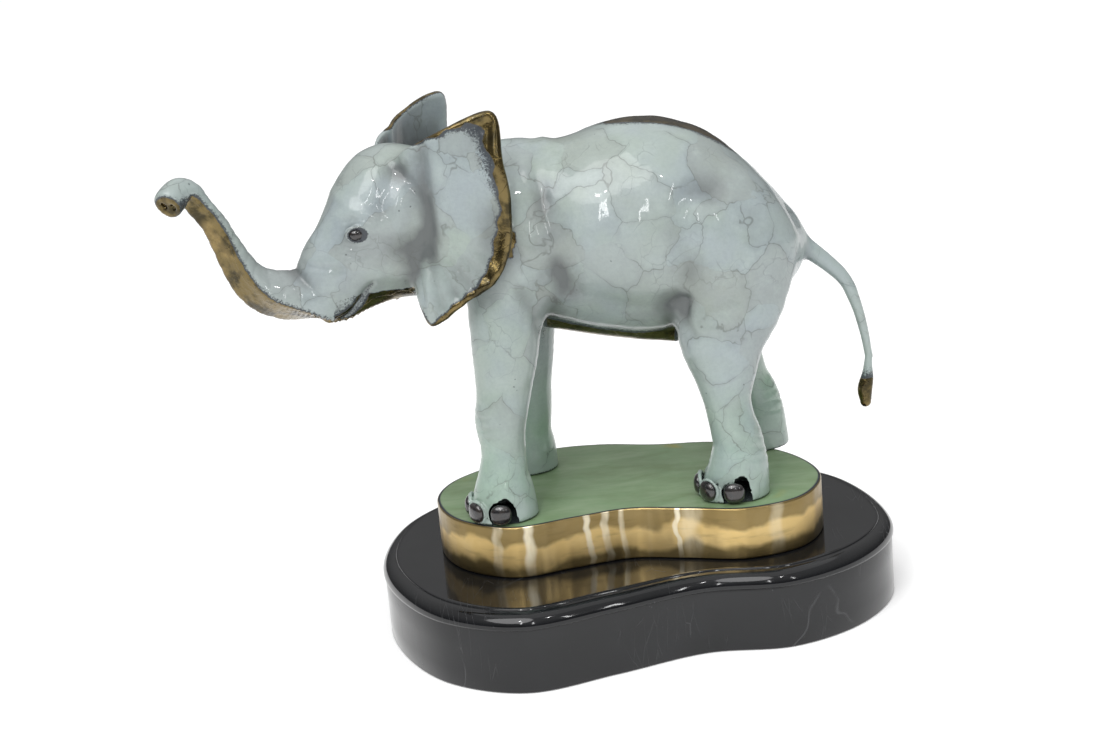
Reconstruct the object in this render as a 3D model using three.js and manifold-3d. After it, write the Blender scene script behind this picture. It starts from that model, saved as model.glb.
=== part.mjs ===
// A bronze elephant calf with a raised trunk. It stands on a kidney-shaped bronze ground,
// which rests on a black marble plinth with a moulded edge.
// Millimetres, +Z up. The origin is on the plinth's underside, in the elephant's mid-plane.
// The elephant faces -X and its head is turned towards -Y.

import * as THREE from 'three';
import { mergeVertices } from 'three/addons/utils/BufferGeometryUtils.js';
import Module from 'manifold-3d';

const wasm = await Module();
wasm.setup();

// ---- driving dimensions ----

const PLINTH_HEIGHT = 50;
const GROUND_HEIGHT = 33;
const SEAT_GAP = 0.3; // clearance between pieces that rest on each other
const GROUND_BOTTOM = PLINTH_HEIGHT + SEAT_GAP;
const GROUND_TOP = PLINTH_HEIGHT + GROUND_HEIGHT;
const SOLE = GROUND_TOP + SEAT_GAP; // the level of the elephant's soles

const HEAD_TURN = THREE.MathUtils.degToRad(16);
const NECK_PIVOT = new THREE.Vector3(-100, -6, 0);
const FOOT_SPREAD = 41; // from the mid-plane to the middle of a foot
const BODY_SIDES = 24;
const LEG_SIDES = 12;
const TRUNK_SIDES = 12;
const CAP_ROWS = 2; // rings that round off the end of a limb
const HOLLOW_EDGE = 0.28; // slope above which an edge between two faces counts as a crease
const SOLE_CUT = 3; // legs are made this much too long and cut off flat

const PATINA = new THREE.MeshStandardMaterial({ color: 0xa9bdb8, roughness: 0.25, metalness: 0.3 });
const BRASS = new THREE.MeshStandardMaterial({ color: 0xb08d57, roughness: 0.25, metalness: 1 });
const MARBLE = new THREE.MeshStandardMaterial({ color: 0x17181b, roughness: 0.12, metalness: 0 });

// ---- making and joining solids ----

// Welds a three.js geometry, drops collapsed triangles and makes a solid of it.
function solidOf(geometry) {
  geometry.deleteAttribute('normal');
  geometry.deleteAttribute('uv');
  const welded = mergeVertices(geometry, 1e-4);
  const kept = [];
  const index = welded.index.array;
  for (let i = 0; i < index.length; i += 3) {
    const [a, b, c] = index.slice(i, i + 3);
    if (a !== b && b !== c && c !== a) kept.push(a, b, c);
  }
  return new wasm.Manifold(new wasm.Mesh({
    numProp: 3,
    vertProperties: welded.attributes.position.array,
    triVerts: new Uint32Array(kept),
  }));
}

function join(geometries) {
  return geometries.map(solidOf).reduce((whole, part) => whole.add(part));
}

// Softens the creases where limbs meet the body: each vertex on a hollow edge, and to half the
// degree its neighbours, drifts to the middle of the vertices round it.
function soften(geometry, rounds) {
  const { array } = geometry.attributes.position;
  const corners = geometry.index.array;
  const at = (i) => new THREE.Vector3().fromArray(array, 3 * i);
  const neighbours = new Map();
  const edges = new Map();
  for (let i = 0; i < corners.length; i += 3) {
    for (let k = 0; k < 3; k += 1) {
      const [from, to, apex] = [corners[i + k], corners[i + ((k + 1) % 3)], corners[i + ((k + 2) % 3)]];
      if (!neighbours.has(from)) neighbours.set(from, new Set());
      neighbours.get(from).add(to).add(apex);
      edges.set(`${from} ${to}`, apex);
    }
  }
  const weight = new Map();
  for (const [key, apex] of edges) {
    const [from, to] = key.split(' ').map(Number);
    const across = at(edges.get(`${to} ${from}`));
    const normal = new THREE.Triangle(at(from), at(to), at(apex)).getNormal(new THREE.Vector3());
    const rise = across.sub(at(from));
    if (normal.dot(rise) > HOLLOW_EDGE * rise.length()) [from, to].forEach((i) => weight.set(i, 0.5));
  }
  for (const i of [...weight.keys()]) {
    neighbours.get(i).forEach((j) => weight.has(j) || weight.set(j, 0.25));
  }
  for (let round = 0; round < rounds; round += 1) {
    const moved = new Map();
    for (const [i, share] of weight) {
      const ring = [...neighbours.get(i)];
      const middle = ring.reduce((sum, j) => sum.add(at(j)), new THREE.Vector3()).divideScalar(ring.length);
      if (at(i).z > SOLE + 0.01) moved.set(i, at(i).lerp(middle, share));
    }
    moved.forEach((spot, i) => spot.toArray(array, 3 * i));
  }
  return geometry;
}

function geometryOf(solid) {
  const { vertProperties, triVerts } = solid.getMesh();
  const geometry = new THREE.BufferGeometry();
  geometry.setAttribute('position', new THREE.BufferAttribute(vertProperties, 3));
  geometry.setIndex(new THREE.BufferAttribute(triVerts, 1));
  geometry.computeVertexNormals();
  return geometry;
}

// Moves every vertex of a sphere or lathe geometry to place(u, v), where u runs once round it
// and v is its share of the way along it.
function reshape(geometry, place) {
  const { position, uv } = geometry.attributes;
  for (let i = 0; i < position.count; i += 1) {
    const { x, y, z } = place((uv.getX(i) + 1) % 1, uv.getY(i));
    position.setXYZ(i, x, y, z);
  }
  return geometry;
}

// ---- shapes ----

// A limb is a sphere drawn out along a smooth path. A station is
// [x, y, z, half width across, half width in the plane of the bend, roll in degrees].
// The ends are rounded by `caps` millimetres, and `flat` cuts the underside to a flat band.
function limb(stations, { sides, rings, caps, flat = -1 }) {
  const through = (points) => new THREE.CatmullRomCurve3(points, false, 'catmullrom');
  const path = through(stations.map(([x, y, z]) => new THREE.Vector3(x, y, z)));
  const girth = through(stations.map(([, , , across, deep, roll = 0]) => new THREE.Vector3(across, deep, roll)));
  const rows = rings + 2 * CAP_ROWS;
  return reshape(new THREE.SphereGeometry(1, sides, rows), (u, v) => {
    const row = Math.round((1 - v) * rows);
    const fromEnd = Math.min(row, rows - row, CAP_ROWS);
    const capAngle = (fromEnd / CAP_ROWS) * (Math.PI / 2);
    const atStart = row < rows / 2;
    const along = THREE.MathUtils.clamp((row - CAP_ROWS) / rings, 0, 1);
    const tangent = path.getTangent(along);
    const size = girth.getPoint(along);
    const side = new THREE.Vector3(0, 1, 0).addScaledVector(tangent, -tangent.y).normalize();
    side.applyAxisAngle(tangent, THREE.MathUtils.degToRad(size.z));
    const up = new THREE.Vector3().crossVectors(tangent, side);
    const turn = u * 2 * Math.PI;
    const overhang = Math.cos(capAngle) * (atStart ? -caps[0] : caps[1]);
    return path.getPoint(along)
      .addScaledVector(tangent, overhang)
      .addScaledVector(side, -Math.cos(turn) * size.x * Math.sin(capAngle))
      .addScaledVector(up, Math.max(Math.sin(turn), flat) * size.y * Math.sin(capAngle));
  });
}

// A rounded mass of muscle or bone.
function mass([x, y, z], [rx, ry, rz], sides = 16) {
  return new THREE.SphereGeometry(1, sides, Math.round(sides * 0.7)).scale(rx, ry, rz).translate(x, y, z);
}

// A closed outline in plan through a few points, as a function of the share of its length.
function planOutline(points) {
  const curve = new THREE.CatmullRomCurve3(points.map(([x, y]) => new THREE.Vector3(x, y, 0)), true);
  return (share, inset) => {
    const tangent = curve.getTangentAt(share);
    return curve.getPointAt(share).add(new THREE.Vector3(-tangent.y, tangent.x, 0).multiplyScalar(inset));
  };
}

// A slab with a moulded edge: a lathe turned round the outline instead of round a circle. The
// profile's points are [inset from the outline, height]; it closes to the middle above and below.
function mouldedSlab(outline, profile, segments) {
  const heights = [profile[0], ...profile, profile.at(-1)];
  const last = heights.length - 1;
  const lathe = new THREE.LatheGeometry(heights.map(([, z], i) => new THREE.Vector2(i % last ? 1 : 0, z)), segments);
  return reshape(lathe, (u, v) => {
    const row = Math.round(v * last);
    const [inset, z] = heights[row];
    const onAxis = row === 0 || row === last;
    return (onAxis ? new THREE.Vector3() : outline(u, inset)).setZ(z);
  });
}

// ---- the elephant ----

// Barrel of the body from the withers to the root of the tail, with its keel below.
function trunkOfBody() {
  const barrel = [
    [-62, 0, 254, 39, 53],
    [-37, 0, 248, 48, 57],
    [-17, 0, 247.5, 53, 60.5],
    [4, 0, 248, 57, 64.5],
    [24, 0, 248, 58.5, 66],
    [42, 0, 244.5, 58, 63.5],
    [62, 0, 240, 54, 56.5],
    [80, 0, 236, 47, 46],
    [93, 0, 233.5, 38, 36.5],
    [105, 0, 231, 25, 25],
  ];
  const keel = [
    [-44, 0, 196, 12, 10],
    [-23, 0, 191, 13, 10],
    [12, 0, 183, 13, 10],
    [38, 0, 179, 10, 9],
  ];
  return [
    limb(barrel, { sides: BODY_SIDES, rings: 12, caps: [24, 13] }),
    limb(keel, { sides: 8, rings: 5, caps: [8, 5] }),
  ];
}

// One foreleg; `swing` moves the foot back from its place under the shoulder.
function foreleg(side, swing) {
  const foot = side * FOOT_SPREAD;
  const leg = [
    [-66 + swing * 0.3, foot * 0.72, 236, 17, 27],
    [-69 + swing * 0.6, foot * 0.86, 207, 17.5, 23],
    [-70.5 + swing * 0.8, foot * 0.95, 184, 17, 20],
    [-74 + swing, foot, 160, 16, 16.8],
    [-77.5 + swing * 1.15, foot, 141, 15.5, 15.4],
    [-77.5 + swing * 1.15, foot, 124, 14.8, 13.8],
    [-79 + swing * 1.05, foot, 108, 16, 15.5],
    [-79 + swing, foot, 96, 18.8, 18.6],
    [-79 + swing, foot, SOLE - SOLE_CUT, 20.5, 20.8],
  ];
  return [
    limb(leg, { sides: LEG_SIDES, rings: 12, caps: [12, 0] }),
    mass([-62 + swing * 0.2, foot * 0.68, 238], [24, 19, 44]),
    ...toenails(-79 + swing, foot, side),
  ];
}

// One hind leg; `knee` and `heel` sweep it backwards.
function hindLeg(side, knee, heel) {
  const foot = side * FOOT_SPREAD;
  const leg = [
    [75, foot * 0.66, 236, 20, 35],
    [71, foot * 0.8, 207, 21.5, 34],
    [63.5 + knee * 0.2, foot * 0.92, 183, 19.5, 28],
    [63 + knee * 0.6, foot, 161, 17.5, 20],
    [63 + knee, foot, 145, 15.5, 15.2],
    [65 + knee + heel * 0.3, foot, 130, 15.2, 15],
    [68 + knee + heel * 0.6, foot, 115, 16, 16],
    [67 + knee + heel * 0.8, foot, 100, 18.5, 18.5],
    [63.5 + knee + heel, foot, SOLE - SOLE_CUT, 20.5, 21.5],
  ];
  return [
    limb(leg, { sides: LEG_SIDES, rings: 12, caps: [12, 0] }),
    mass([66, foot * 0.54, 240], [34, 24, 40]),
    ...toenails(63.5 + knee + heel, foot, side),
  ];
}

// Four nails round the front and outer side of a foot.
function toenails(x, y, side) {
  return [-60, -12, 36, 84].map((degrees) => {
    const angle = THREE.MathUtils.degToRad(degrees);
    const nail = new THREE.SphereGeometry(1, 6, 4).scale(2.2, 5.2, 5.4).rotateZ(side * -angle);
    return nail.translate(x - 20.2 * Math.cos(angle), y + side * 20.2 * Math.sin(angle), SOLE + 6);
  });
}

// The neck and everything on it, in a frame where the head points along -X, then turned.
function headAndNeck() {
  const neck = [
    [-46, 2, 258, 38, 48],
    [-75, 0, 264, 33, 43],
    [-106, -8, 268, 31, 39],
  ];
  const face = [
    mass([-27, 0, 271], [42, 34, 42]),
    mass([-54, 0, 253], [29, 26, 32]),
    mass([-40, 0, 236], [34, 23, 18]),
    mass([-22, 0, 242], [30, 26, 24]),
    ...eyes(),
    trunk(),
    lowerLip(),
    ear(-1),
    ear(1),
  ];
  const turned = face.map((piece) => piece.rotateZ(HEAD_TURN).translate(...NECK_PIVOT.toArray()));
  return [limb(neck, { sides: 16, rings: 5, caps: [10, 10] }), ...turned];
}

function eyes() {
  return [-1, 1].map((side) => mass([-60, side * 24.5, 264.5], [5, 3, 4], 8));
}

// The trunk reaches forward, rises and curls over at the tip. Its flat underside rolls outwards.
function trunk() {
  const stations = [
    [-46, 0, 257, 24, 40],
    [-66, 0, 243, 21, 28],
    [-84, 0, 233, 18, 19],
    [-97, 0, 231, 16.3, 16.6, 5],
    [-109, 0, 232.5, 15, 15.6, 10],
    [-118, 0, 237, 13.8, 14, 15],
    [-125, 0, 244, 12.6, 12.4, 22],
    [-131, 0, 254.5, 11.2, 10.6, 28],
    [-136, 0, 267, 10, 8.8, 34],
    [-140, 0, 279, 9, 7.8, 38],
    [-145, 0, 289.5, 8.6, 7.6, 40],
    [-151, 0, 296.5, 8.8, 8.2, 40],
    [-158, 0, 298, 9, 8.6, 40],
    [-164.5, 0, 294.5, 8.8, 8.2, 40],
  ];
  return limb(stations, { sides: TRUNK_SIDES, rings: 22, caps: [6, 1], flat: -0.72 });
}

function lowerLip() {
  const stations = [
    [-44, 0, 230, 13, 11],
    [-62, 0, 221.5, 8.5, 8],
    [-76, 0, 213.5, 4.5, 4],
  ];
  return limb(stations, { sides: 10, rings: 4, caps: [5, 3] });
}

// An ear is a thin sheet inside a closed outline of [distance behind its root, height], flared
// out from the head. It is cupped behind the root, and its edge is rolled thick.
function ear(side) {
  const root = { x: -28, y: 32 };
  const flare = THREE.MathUtils.degToRad(24);
  const lift = side < 0 ? 0 : 5;
  const outline = new THREE.CatmullRomCurve3([
    [-9, 297], [-4, 309], [8, 315.5], [26, 323.5], [46, 331], [56, 328], [58, 304], [60.5, 278],
    [57, 248], [47, 230], [30, 220], [8, 206], [0, 216], [-5, 240], [-9, 270],
  ].map(([back, z]) => new THREE.Vector3(back, z + lift, 0)), true, 'centripetal');
  const centre = new THREE.Vector3(24, 272 + lift, 0);
  const halfThickness = 2.1;
  return reshape(new THREE.SphereGeometry(1, 30, 10), (u, v) => {
    const polar = (1 - v) * Math.PI;
    const reach = Math.sin(polar);
    const spot = outline.getPointAt(side < 0 ? (1 - u) % 1 : u).sub(centre).multiplyScalar(reach).add(centre);
    const face = Math.sign(Math.cos(polar)) * Math.sqrt(Math.abs(Math.cos(polar)));
    const rolled = 1 + 0.5 * Math.exp(-(((reach - 0.93) / 0.08) ** 2));
    const out = earStandoff(spot.x, spot.y) + face * halfThickness * rolled;
    const x = root.x + spot.x * Math.cos(flare) - out * Math.sin(flare);
    const y = root.y + spot.x * Math.sin(flare) + out * Math.cos(flare);
    return { x, y: side * y, z: spot.y };
  });
}

// How far the middle of an ear bulges from a flat sheet.
function earStandoff(back, z) {
  const bell = (t) => Math.exp(-t * t);
  const ramp = (t) => THREE.MathUtils.clamp(t, 0, 1);
  const root = -9 * ramp((6 - back) / 12);
  const valley = -3.5 * bell((back - 8) / 7) * ramp((z - 225) / 30);
  const flap = 3 * Math.sin(Math.PI * ramp((back - 10) / 50));
  const top = -3 * ramp((z - 300) / 28);
  const lobe = 2 * ramp((245 - z) / 30);
  return root + valley + flap + top + lobe;
}

function tail() {
  const stations = [
    [112, 0, 231, 7, 8],
    [126, 0, 219.5, 5.2, 6],
    [138, 0, 207, 4.4, 5],
    [146.5, 0, 196, 3.8, 4.2],
    [152, 0, 181, 3.2, 3.4],
    [155.5, 0, 165, 2.8, 2.9],
    [157.5, 0, 147, 2.4, 2.4],
  ];
  const tuft = [
    [157.5, 0, 149, 2.4, 2.4],
    [157.5, 0, 139, 3.8, 4],
    [156, 0, 130, 4.6, 5.2],
    [155, 0, 122, 3.4, 4],
  ];
  return [
    limb(stations, { sides: 8, rings: 10, caps: [4, 2] }),
    limb(tuft, { sides: 8, rings: 4, caps: [2, 4] }),
  ];
}

// What is cut off flat below the soles.
function belowSoles() {
  const [length, width, depth] = [400, 200, 40];
  return solidOf(new THREE.BoxGeometry(length, width, depth).translate(0, 0, SOLE - depth / 2));
}

const elephant = join([
  ...trunkOfBody(),
  ...foreleg(-1, 0),
  ...foreleg(1, 17),
  ...hindLeg(-1, 0, 0),
  ...hindLeg(1, 16, 8),
  ...headAndNeck(),
  ...tail(),
]).subtract(belowSoles());

// ---- the ground and the plinth ----

function bronzeGround() {
  const outline = planOutline([
    [-123, -8], [-110, -50], [-76, -75], [-38, -67], [-4, -60], [30, -69], [66, -79], [102, -66],
    [120, -26], [105, 24], [65, 58], [22, 66], [-14, 77], [-50, 76], [-95, 46], [-116, 22],
  ]);
  const profile = [[0, GROUND_BOTTOM], [0, GROUND_TOP - 1.5], [1.5, GROUND_TOP]];
  return mouldedSlab(outline, profile, 72);
}

function marblePlinth() {
  const outline = planOutline([
    [-161, -5], [-150, -60], [-120, -109], [-74, -132], [-20, -117], [35, -99], [88, -101], [135, -75],
    [163, -28], [158, 38], [135, 82], [85, 106], [20, 108], [-45, 119], [-105, 103], [-147, 58],
  ]);
  const moulding = { width: 8, drop: 10, proud: 1, quirk: 1, steps: 5 };
  const shoulder = [];
  for (let i = 0; i <= moulding.steps; i += 1) {
    const angle = (i / moulding.steps) * (Math.PI / 2);
    shoulder.push([
      (moulding.width + moulding.proud) * (1 - Math.cos(angle)) - moulding.proud,
      PLINTH_HEIGHT - moulding.quirk - (moulding.drop - 2 * moulding.quirk) * (1 - Math.sin(angle)),
    ]);
  }
  const profile = [
    [1, 0],
    [0, 1],
    [0, PLINTH_HEIGHT - moulding.drop],
    ...shoulder,
    [moulding.width + 0.5, PLINTH_HEIGHT],
  ];
  return mouldedSlab(outline, profile, 64);
}

// ---- the scene graph ----

const sculpture = new THREE.Group();

function place(name, geometry, material) {
  const mesh = new THREE.Mesh(geometry, material);
  mesh.name = name;
  sculpture.add(mesh);
}

place('marble_plinth', marblePlinth(), MARBLE);
place('bronze_ground_slab', bronzeGround(), BRASS);
place('elephant', soften(geometryOf(elephant), 4), PATINA);

export default sculpture;
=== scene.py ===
import math

import bmesh
import bpy
import numpy as np
from bpy.props import FloatProperty, FloatVectorProperty, IntProperty, PointerProperty
from bpy.types import Operator, Panel, PropertyGroup
from mathutils import Matrix, Vector


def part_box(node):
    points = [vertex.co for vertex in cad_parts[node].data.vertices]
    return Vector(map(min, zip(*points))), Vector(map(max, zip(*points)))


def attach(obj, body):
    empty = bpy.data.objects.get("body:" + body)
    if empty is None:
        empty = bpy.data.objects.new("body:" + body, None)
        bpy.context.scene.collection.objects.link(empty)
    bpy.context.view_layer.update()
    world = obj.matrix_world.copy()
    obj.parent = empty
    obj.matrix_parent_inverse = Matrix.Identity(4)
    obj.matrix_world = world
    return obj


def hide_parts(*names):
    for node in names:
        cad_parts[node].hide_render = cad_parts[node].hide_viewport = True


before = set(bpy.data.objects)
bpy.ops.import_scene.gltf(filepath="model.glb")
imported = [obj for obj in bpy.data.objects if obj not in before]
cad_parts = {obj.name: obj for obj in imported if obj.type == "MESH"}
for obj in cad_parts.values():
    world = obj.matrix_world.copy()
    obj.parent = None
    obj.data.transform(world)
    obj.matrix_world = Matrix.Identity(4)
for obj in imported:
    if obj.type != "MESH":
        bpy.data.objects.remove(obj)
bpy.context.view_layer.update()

bl_info = {
    "name": "Bronze elephant sculpture",
    "version": (1, 0, 0),
    "blender": (4, 5, 0),
    "location": "3D View > Sidebar > Sculpture",
    "description": "A patinated bronze elephant calf on a bronze ground and a black marble plinth",
    "category": "Object",
}

MM = 0.001
BODY = "root"

# ---- levels and places, in millimetres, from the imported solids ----

PLINTH_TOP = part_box("marble_plinth")[1].z / MM
GROUND_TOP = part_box("bronze_ground_slab")[1].z / MM
GROUND_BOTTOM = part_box("bronze_ground_slab")[0].z / MM
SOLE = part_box("elephant")[0].z / MM
HEAD_TURN = math.radians(16)
NECK_PIVOT = np.array([-100.0, -6.0, 0.0])
NEAR, FAR_SIDE = -1, 1


def srgb(red, green, blue):
    """A colour given as screen values from 0 to 255, as the linear values that materials use."""
    def linear(value):
        share = value / 255
        return share / 12.92 if share <= 0.04045 else ((share + 0.055) / 1.055) ** 2.4
    return (linear(red), linear(green), linear(blue), 1.0)


# ---- implicit forms: each function gives the distance of points p from a shape ----

NOWHERE = 60.0  # the distance given to points that are well away from a shape
REACH = 18.0  # how far outside a shape its distance is still worked out


def through(stations, per=4):
    """A smooth row of points through the stations, with `per` steps from one to the next."""
    p = np.asarray(stations, float)
    ends = np.vstack([2 * p[0] - p[1], p, 2 * p[-1] - p[-2]])
    steps = np.arange(per)[:, None] / per
    rows = [spline_span(ends[i - 1:i + 3], steps) for i in range(1, len(ends) - 2)]
    return np.vstack(rows + [p[-1:]])


def closed_curve(points, per=6):
    """A closed smooth outline through the points."""
    p = np.asarray(points, float)
    steps = np.arange(per)[:, None] / per
    return np.vstack([spline_span(np.roll(p, 1 - i, axis=0)[:4], steps) for i in range(len(p))])


def spline_span(four, t):
    a, b, c, d = four
    square, cube = 2 * a - 5 * b + 4 * c - d, 3 * b - a - 3 * c + d
    return 0.5 * (2 * b + (c - a) * t + square * t ** 2 + cube * t ** 3)


def blend(a, b, radius):
    """Two shapes joined, with a fillet of about that radius."""
    h = np.maximum(radius - np.abs(a - b), 0) / radius
    return np.minimum(a, b) - h * h * radius / 4


def overlap(a, b, radius):
    """What two shapes have in common, with its edge rounded."""
    h = np.maximum(radius - np.abs(a - b), 0) / radius
    return np.maximum(a, b) + h * h * radius / 4


def ramp(t):
    return np.clip(t, 0, 1)


def smooth(t):
    t = np.clip(t, 0, 1)
    return t * t * (3 - 2 * t)


def bell(t):
    return np.exp(-t * t)


def oval(v, radii):
    """Distance from an ellipsoid, for points v measured from its middle."""
    r = np.asarray(radii, float)
    k0 = np.sqrt(((v / r) ** 2).sum(-1))
    k1 = np.sqrt(((v / r ** 2) ** 2).sum(-1)) + 1e-9
    return np.where(k0 < 1e-4, -r.min(), (k0 - 1) * k0 / k1)


def inside_box(p, low, high):
    """Which points lie in a box, or None where none can."""
    if (p.max(0) < low).any() or (p.min(0) > high).any():
        return None
    chosen = ((p > low) & (p < high)).all(1)
    return chosen if chosen.any() else None


def mass(p, centre, radii):
    out = np.full(len(p), NOWHERE)
    centre, radii = np.asarray(centre, float), np.asarray(radii, float)
    near = inside_box(p, centre - radii - REACH, centre + radii + REACH)
    if near is not None:
        out[near] = oval(p[near] - centre, radii)
    return out


def segment_distance(p, a, b, cap):
    """Distance from one segment of a limb, and from the plane that cuts its underside flat."""
    axis = b[:3] - a[:3]
    length = np.linalg.norm(axis)
    forward = axis / length
    level = np.array([0, 1, 0]) - forward[1] * forward
    level /= np.linalg.norm(level)
    square = np.cross(forward, level)
    v = p - a[:3]
    share = (v @ forward) / length
    held = np.clip(share, 0, 1)[:, None]
    v = v - held * axis
    station = a[3:] + held * (b[3:] - a[3:])
    size, turn = station[:, :2], np.radians(station[:, 2])
    out, along = v @ level, v @ forward
    deep = (v @ square) * np.cos(turn) - out * np.sin(turn)
    across = out * np.cos(turn) + (v @ square) * np.sin(turn)
    end = size[:, 1].copy()
    if cap[0] is not None:
        end[share < 0] = cap[0]
    if cap[1] is not None:
        end[share > 1] = cap[1]
    sizes = np.stack([size[:, 0], size[:, 1], end], -1)
    scaled = np.stack([across, deep, along], -1) / sizes
    k0 = np.sqrt((scaled ** 2).sum(-1))
    k1 = np.sqrt(((scaled / sizes) ** 2).sum(-1)) + 1e-9
    away = np.where(k0 < 1e-4, -size.min(1), (k0 - 1) * k0 / k1)
    below = deep - station[:, 3] * size[:, 1] if station.shape[1] > 3 else np.full(len(p), -NOWHERE)
    return away, below


def limb(p, stations, caps=None, both=False, per=4):
    """Distance from a limb with elliptical sections. A station is [x, y, z, half width across,
    half width in the plane of the bend, roll in degrees, share of its depth at which its underside
    is flat]; the last two may be left out. With `both`, the distances from the round form and
    from the flat."""
    flat = len(stations[0]) == 7
    if len(stations[0]) == 5:
        stations = [[*s, 0] for s in stations]
    path = through(stations, per)
    round_form = np.full(len(p), NOWHERE)
    flat_form = np.full(len(p), -NOWHERE)
    widest = REACH + path[:, 3:5].max()
    within = inside_box(p, path[:, :3].min(0) - widest, path[:, :3].max(0) + widest)
    if within is not None:
        chosen = np.flatnonzero(within)
        around = p[chosen]
        last = len(path) - 2
        for i, (a, b) in enumerate(zip(path, path[1:])):
            reach = REACH + max(a[3], a[4], b[3], b[4])
            near = inside_box(around, np.minimum(a[:3], b[:3]) - reach, np.maximum(a[:3], b[:3]) + reach)
            if near is None:
                continue
            cap = (caps[0] if caps and i == 0 else None, caps[1] if caps and i == last else None)
            away, below = segment_distance(around[near], a, b, cap)
            spots = chosen[near]
            nearer = away < round_form[spots]
            round_form[spots[nearer]] = away[nearer]
            flat_form[spots[nearer]] = below[nearer]
    if both:
        return round_form, flat_form
    return overlap(round_form, flat_form, 1.6) if flat else round_form


def squared_distance(u, v, spans):
    """Squared distance of points (u, v) from the nearest of some straight spans."""
    best = np.full(len(u), 1e9)
    for a, b in spans:
        e = b - a
        t = np.clip(((u - a[0]) * e[0] + (v - a[1]) * e[1]) / (e @ e), 0, 1)
        best = np.minimum(best, (u - a[0] - t * e[0]) ** 2 + (v - a[1] - t * e[1]) ** 2)
    return best


def outline_distance(u, v, outline):
    """Signed distance of points (u, v) from a closed outline, negative inside it."""
    spans = list(zip(np.roll(outline, 1, axis=0), outline))
    inside = np.zeros(len(u), bool)
    for a, b in spans:
        e = b - a
        if a[1] != b[1]:
            inside ^= ((a[1] > v) != (b[1] > v)) & (u < e[0] * (v - a[1]) / e[1] + a[0])
    return np.where(inside, -1, 1) * np.sqrt(squared_distance(u, v, spans))


def line_distance(u, v, points):
    """Distance of points (u, v) from an open smooth line."""
    line = through(points, 3)
    return np.sqrt(squared_distance(u, v, zip(line, line[1:])))


class Unevenness:
    """Smooth random unevenness of about unit height, the same each time for the same seed."""

    def __init__(self, seed, size=24):
        self.size = size
        self.values = np.random.default_rng(seed).uniform(-1, 1, (size, size, size))

    def __call__(self, p, wavelength):
        q = p / wavelength
        base = np.floor(q).astype(int)
        t = q - base
        t = t * t * (3 - 2 * t)
        total = np.zeros(len(p))
        for corner in np.ndindex(2, 2, 2):
            i, j, k = ((base + corner) % self.size).T
            weight = np.prod(np.where(corner, t, 1 - t), axis=1)
            total += weight * self.values[i, j, k]
        return total


# ---- the elephant's form ----

BARREL = [
    [-62, 0, 251.5, 39, 48], [-37, 0, 245.8, 48, 50.5], [-17, 0, 245.8, 53, 55.5], [4, 0, 247, 57, 63],
    [24, 0, 247, 58.5, 66.5], [42, 0, 241.8, 58, 60], [62, 0, 235, 54, 49.5], [80, 0, 229.5, 47, 38.5],
    [90, 0, 227.8, 38, 31.5], [101.5, 0, 228, 25, 21],
]
KEEL = [[-44, 0, 198, 12, 10], [-23, 0, 192.5, 13, 10], [12, 0, 184.5, 13, 10], [38, 0, 179.2, 10, 9]]
NECK = [[-46, 2, 258, 38, 48], [-75, 0, 264, 33, 43], [-106, -8, 268, 31, 39]]
TRUNK = [
    [-46, 0, 252.5, 23, 36.5, -11, 0.8], [-64.5, 0, 239.5, 22, 30.5, -10, 0.75],
    [-78, 0, 228, 19.3, 22, 2, 0.65], [-94, 0, 226.6, 17.3, 18.8, 22, 0.55],
    [-107.6, 0, 229.6, 15.7, 17, 29, 0.5], [-117.8, 0, 235.5, 14, 14.4, 33, 0.45],
    [-124.7, 0, 242.8, 12.5, 12.2, 35, 0.4], [-130.4, 0, 254, 10.9, 10.1, 37, 0.38],
    [-135.2, 0, 267, 9.7, 8.4, 38, 0.38], [-140.4, 0, 279.7, 8.8, 7.5, 40, 0.38],
    [-147.2, 0, 290.4, 8.5, 7.3, 44, 0.42], [-152, -0.5, 298.5, 8.8, 8.1, 46, 0.6],
    [-158, -2.5, 300.5, 9.2, 8.9, 45, 1], [-163.5, -6, 297.5, 9.2, 8.9, 45, 1],
    [-167.5, -10, 293, 8.8, 8.6, 45, 1],
]
TRUNK_TIP = np.array([-166.0, -8.5, 294.0])
TIP_FACING = np.array([-0.60, -0.64, -0.48])
NOSTRILS = [(-3.1, 0.4), (3.1, -0.4)]  # across and along the tip's end
LIP = [[-44, 0, 230, 13, 11], [-62, 0, 221.5, 8.5, 8], [-76, 0, 213.5, 4.5, 4]]
LIP_TIP = np.array([-78.0, 0.0, 212.5])
TAIL = [
    [108.5, 0, 232.5, 7, 8], [123, 0, 222, 5.2, 6], [136.5, 0, 210, 4.4, 5], [146, 0, 199, 3.8, 4.2],
    [152, 0, 183.3, 3.2, 3.4], [155.8, 0, 167, 2.8, 2.9], [158.5, 0, 149, 2.4, 2.4],
]
TUFT = [
    [158, 0, 146, 2.3, 2.3], [157, 0, 136.5, 3.5, 3.7], [155, 0, 127.5, 4.2, 4.8], [155, 0, 119.5, 3, 3.6],
]
TUFT_TOP = 135  # where the tuft's polish begins
EYE = np.array([-60.3, 25.6, 265.5])
EYE_OPENING = (5.2, 4.0)  # half width and half height between the lids
EYE_RADII = [5.0, 3.0, 4.0]
EYE_SINK = 0.6  # how far the middle of an eye sits below the skin

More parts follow.
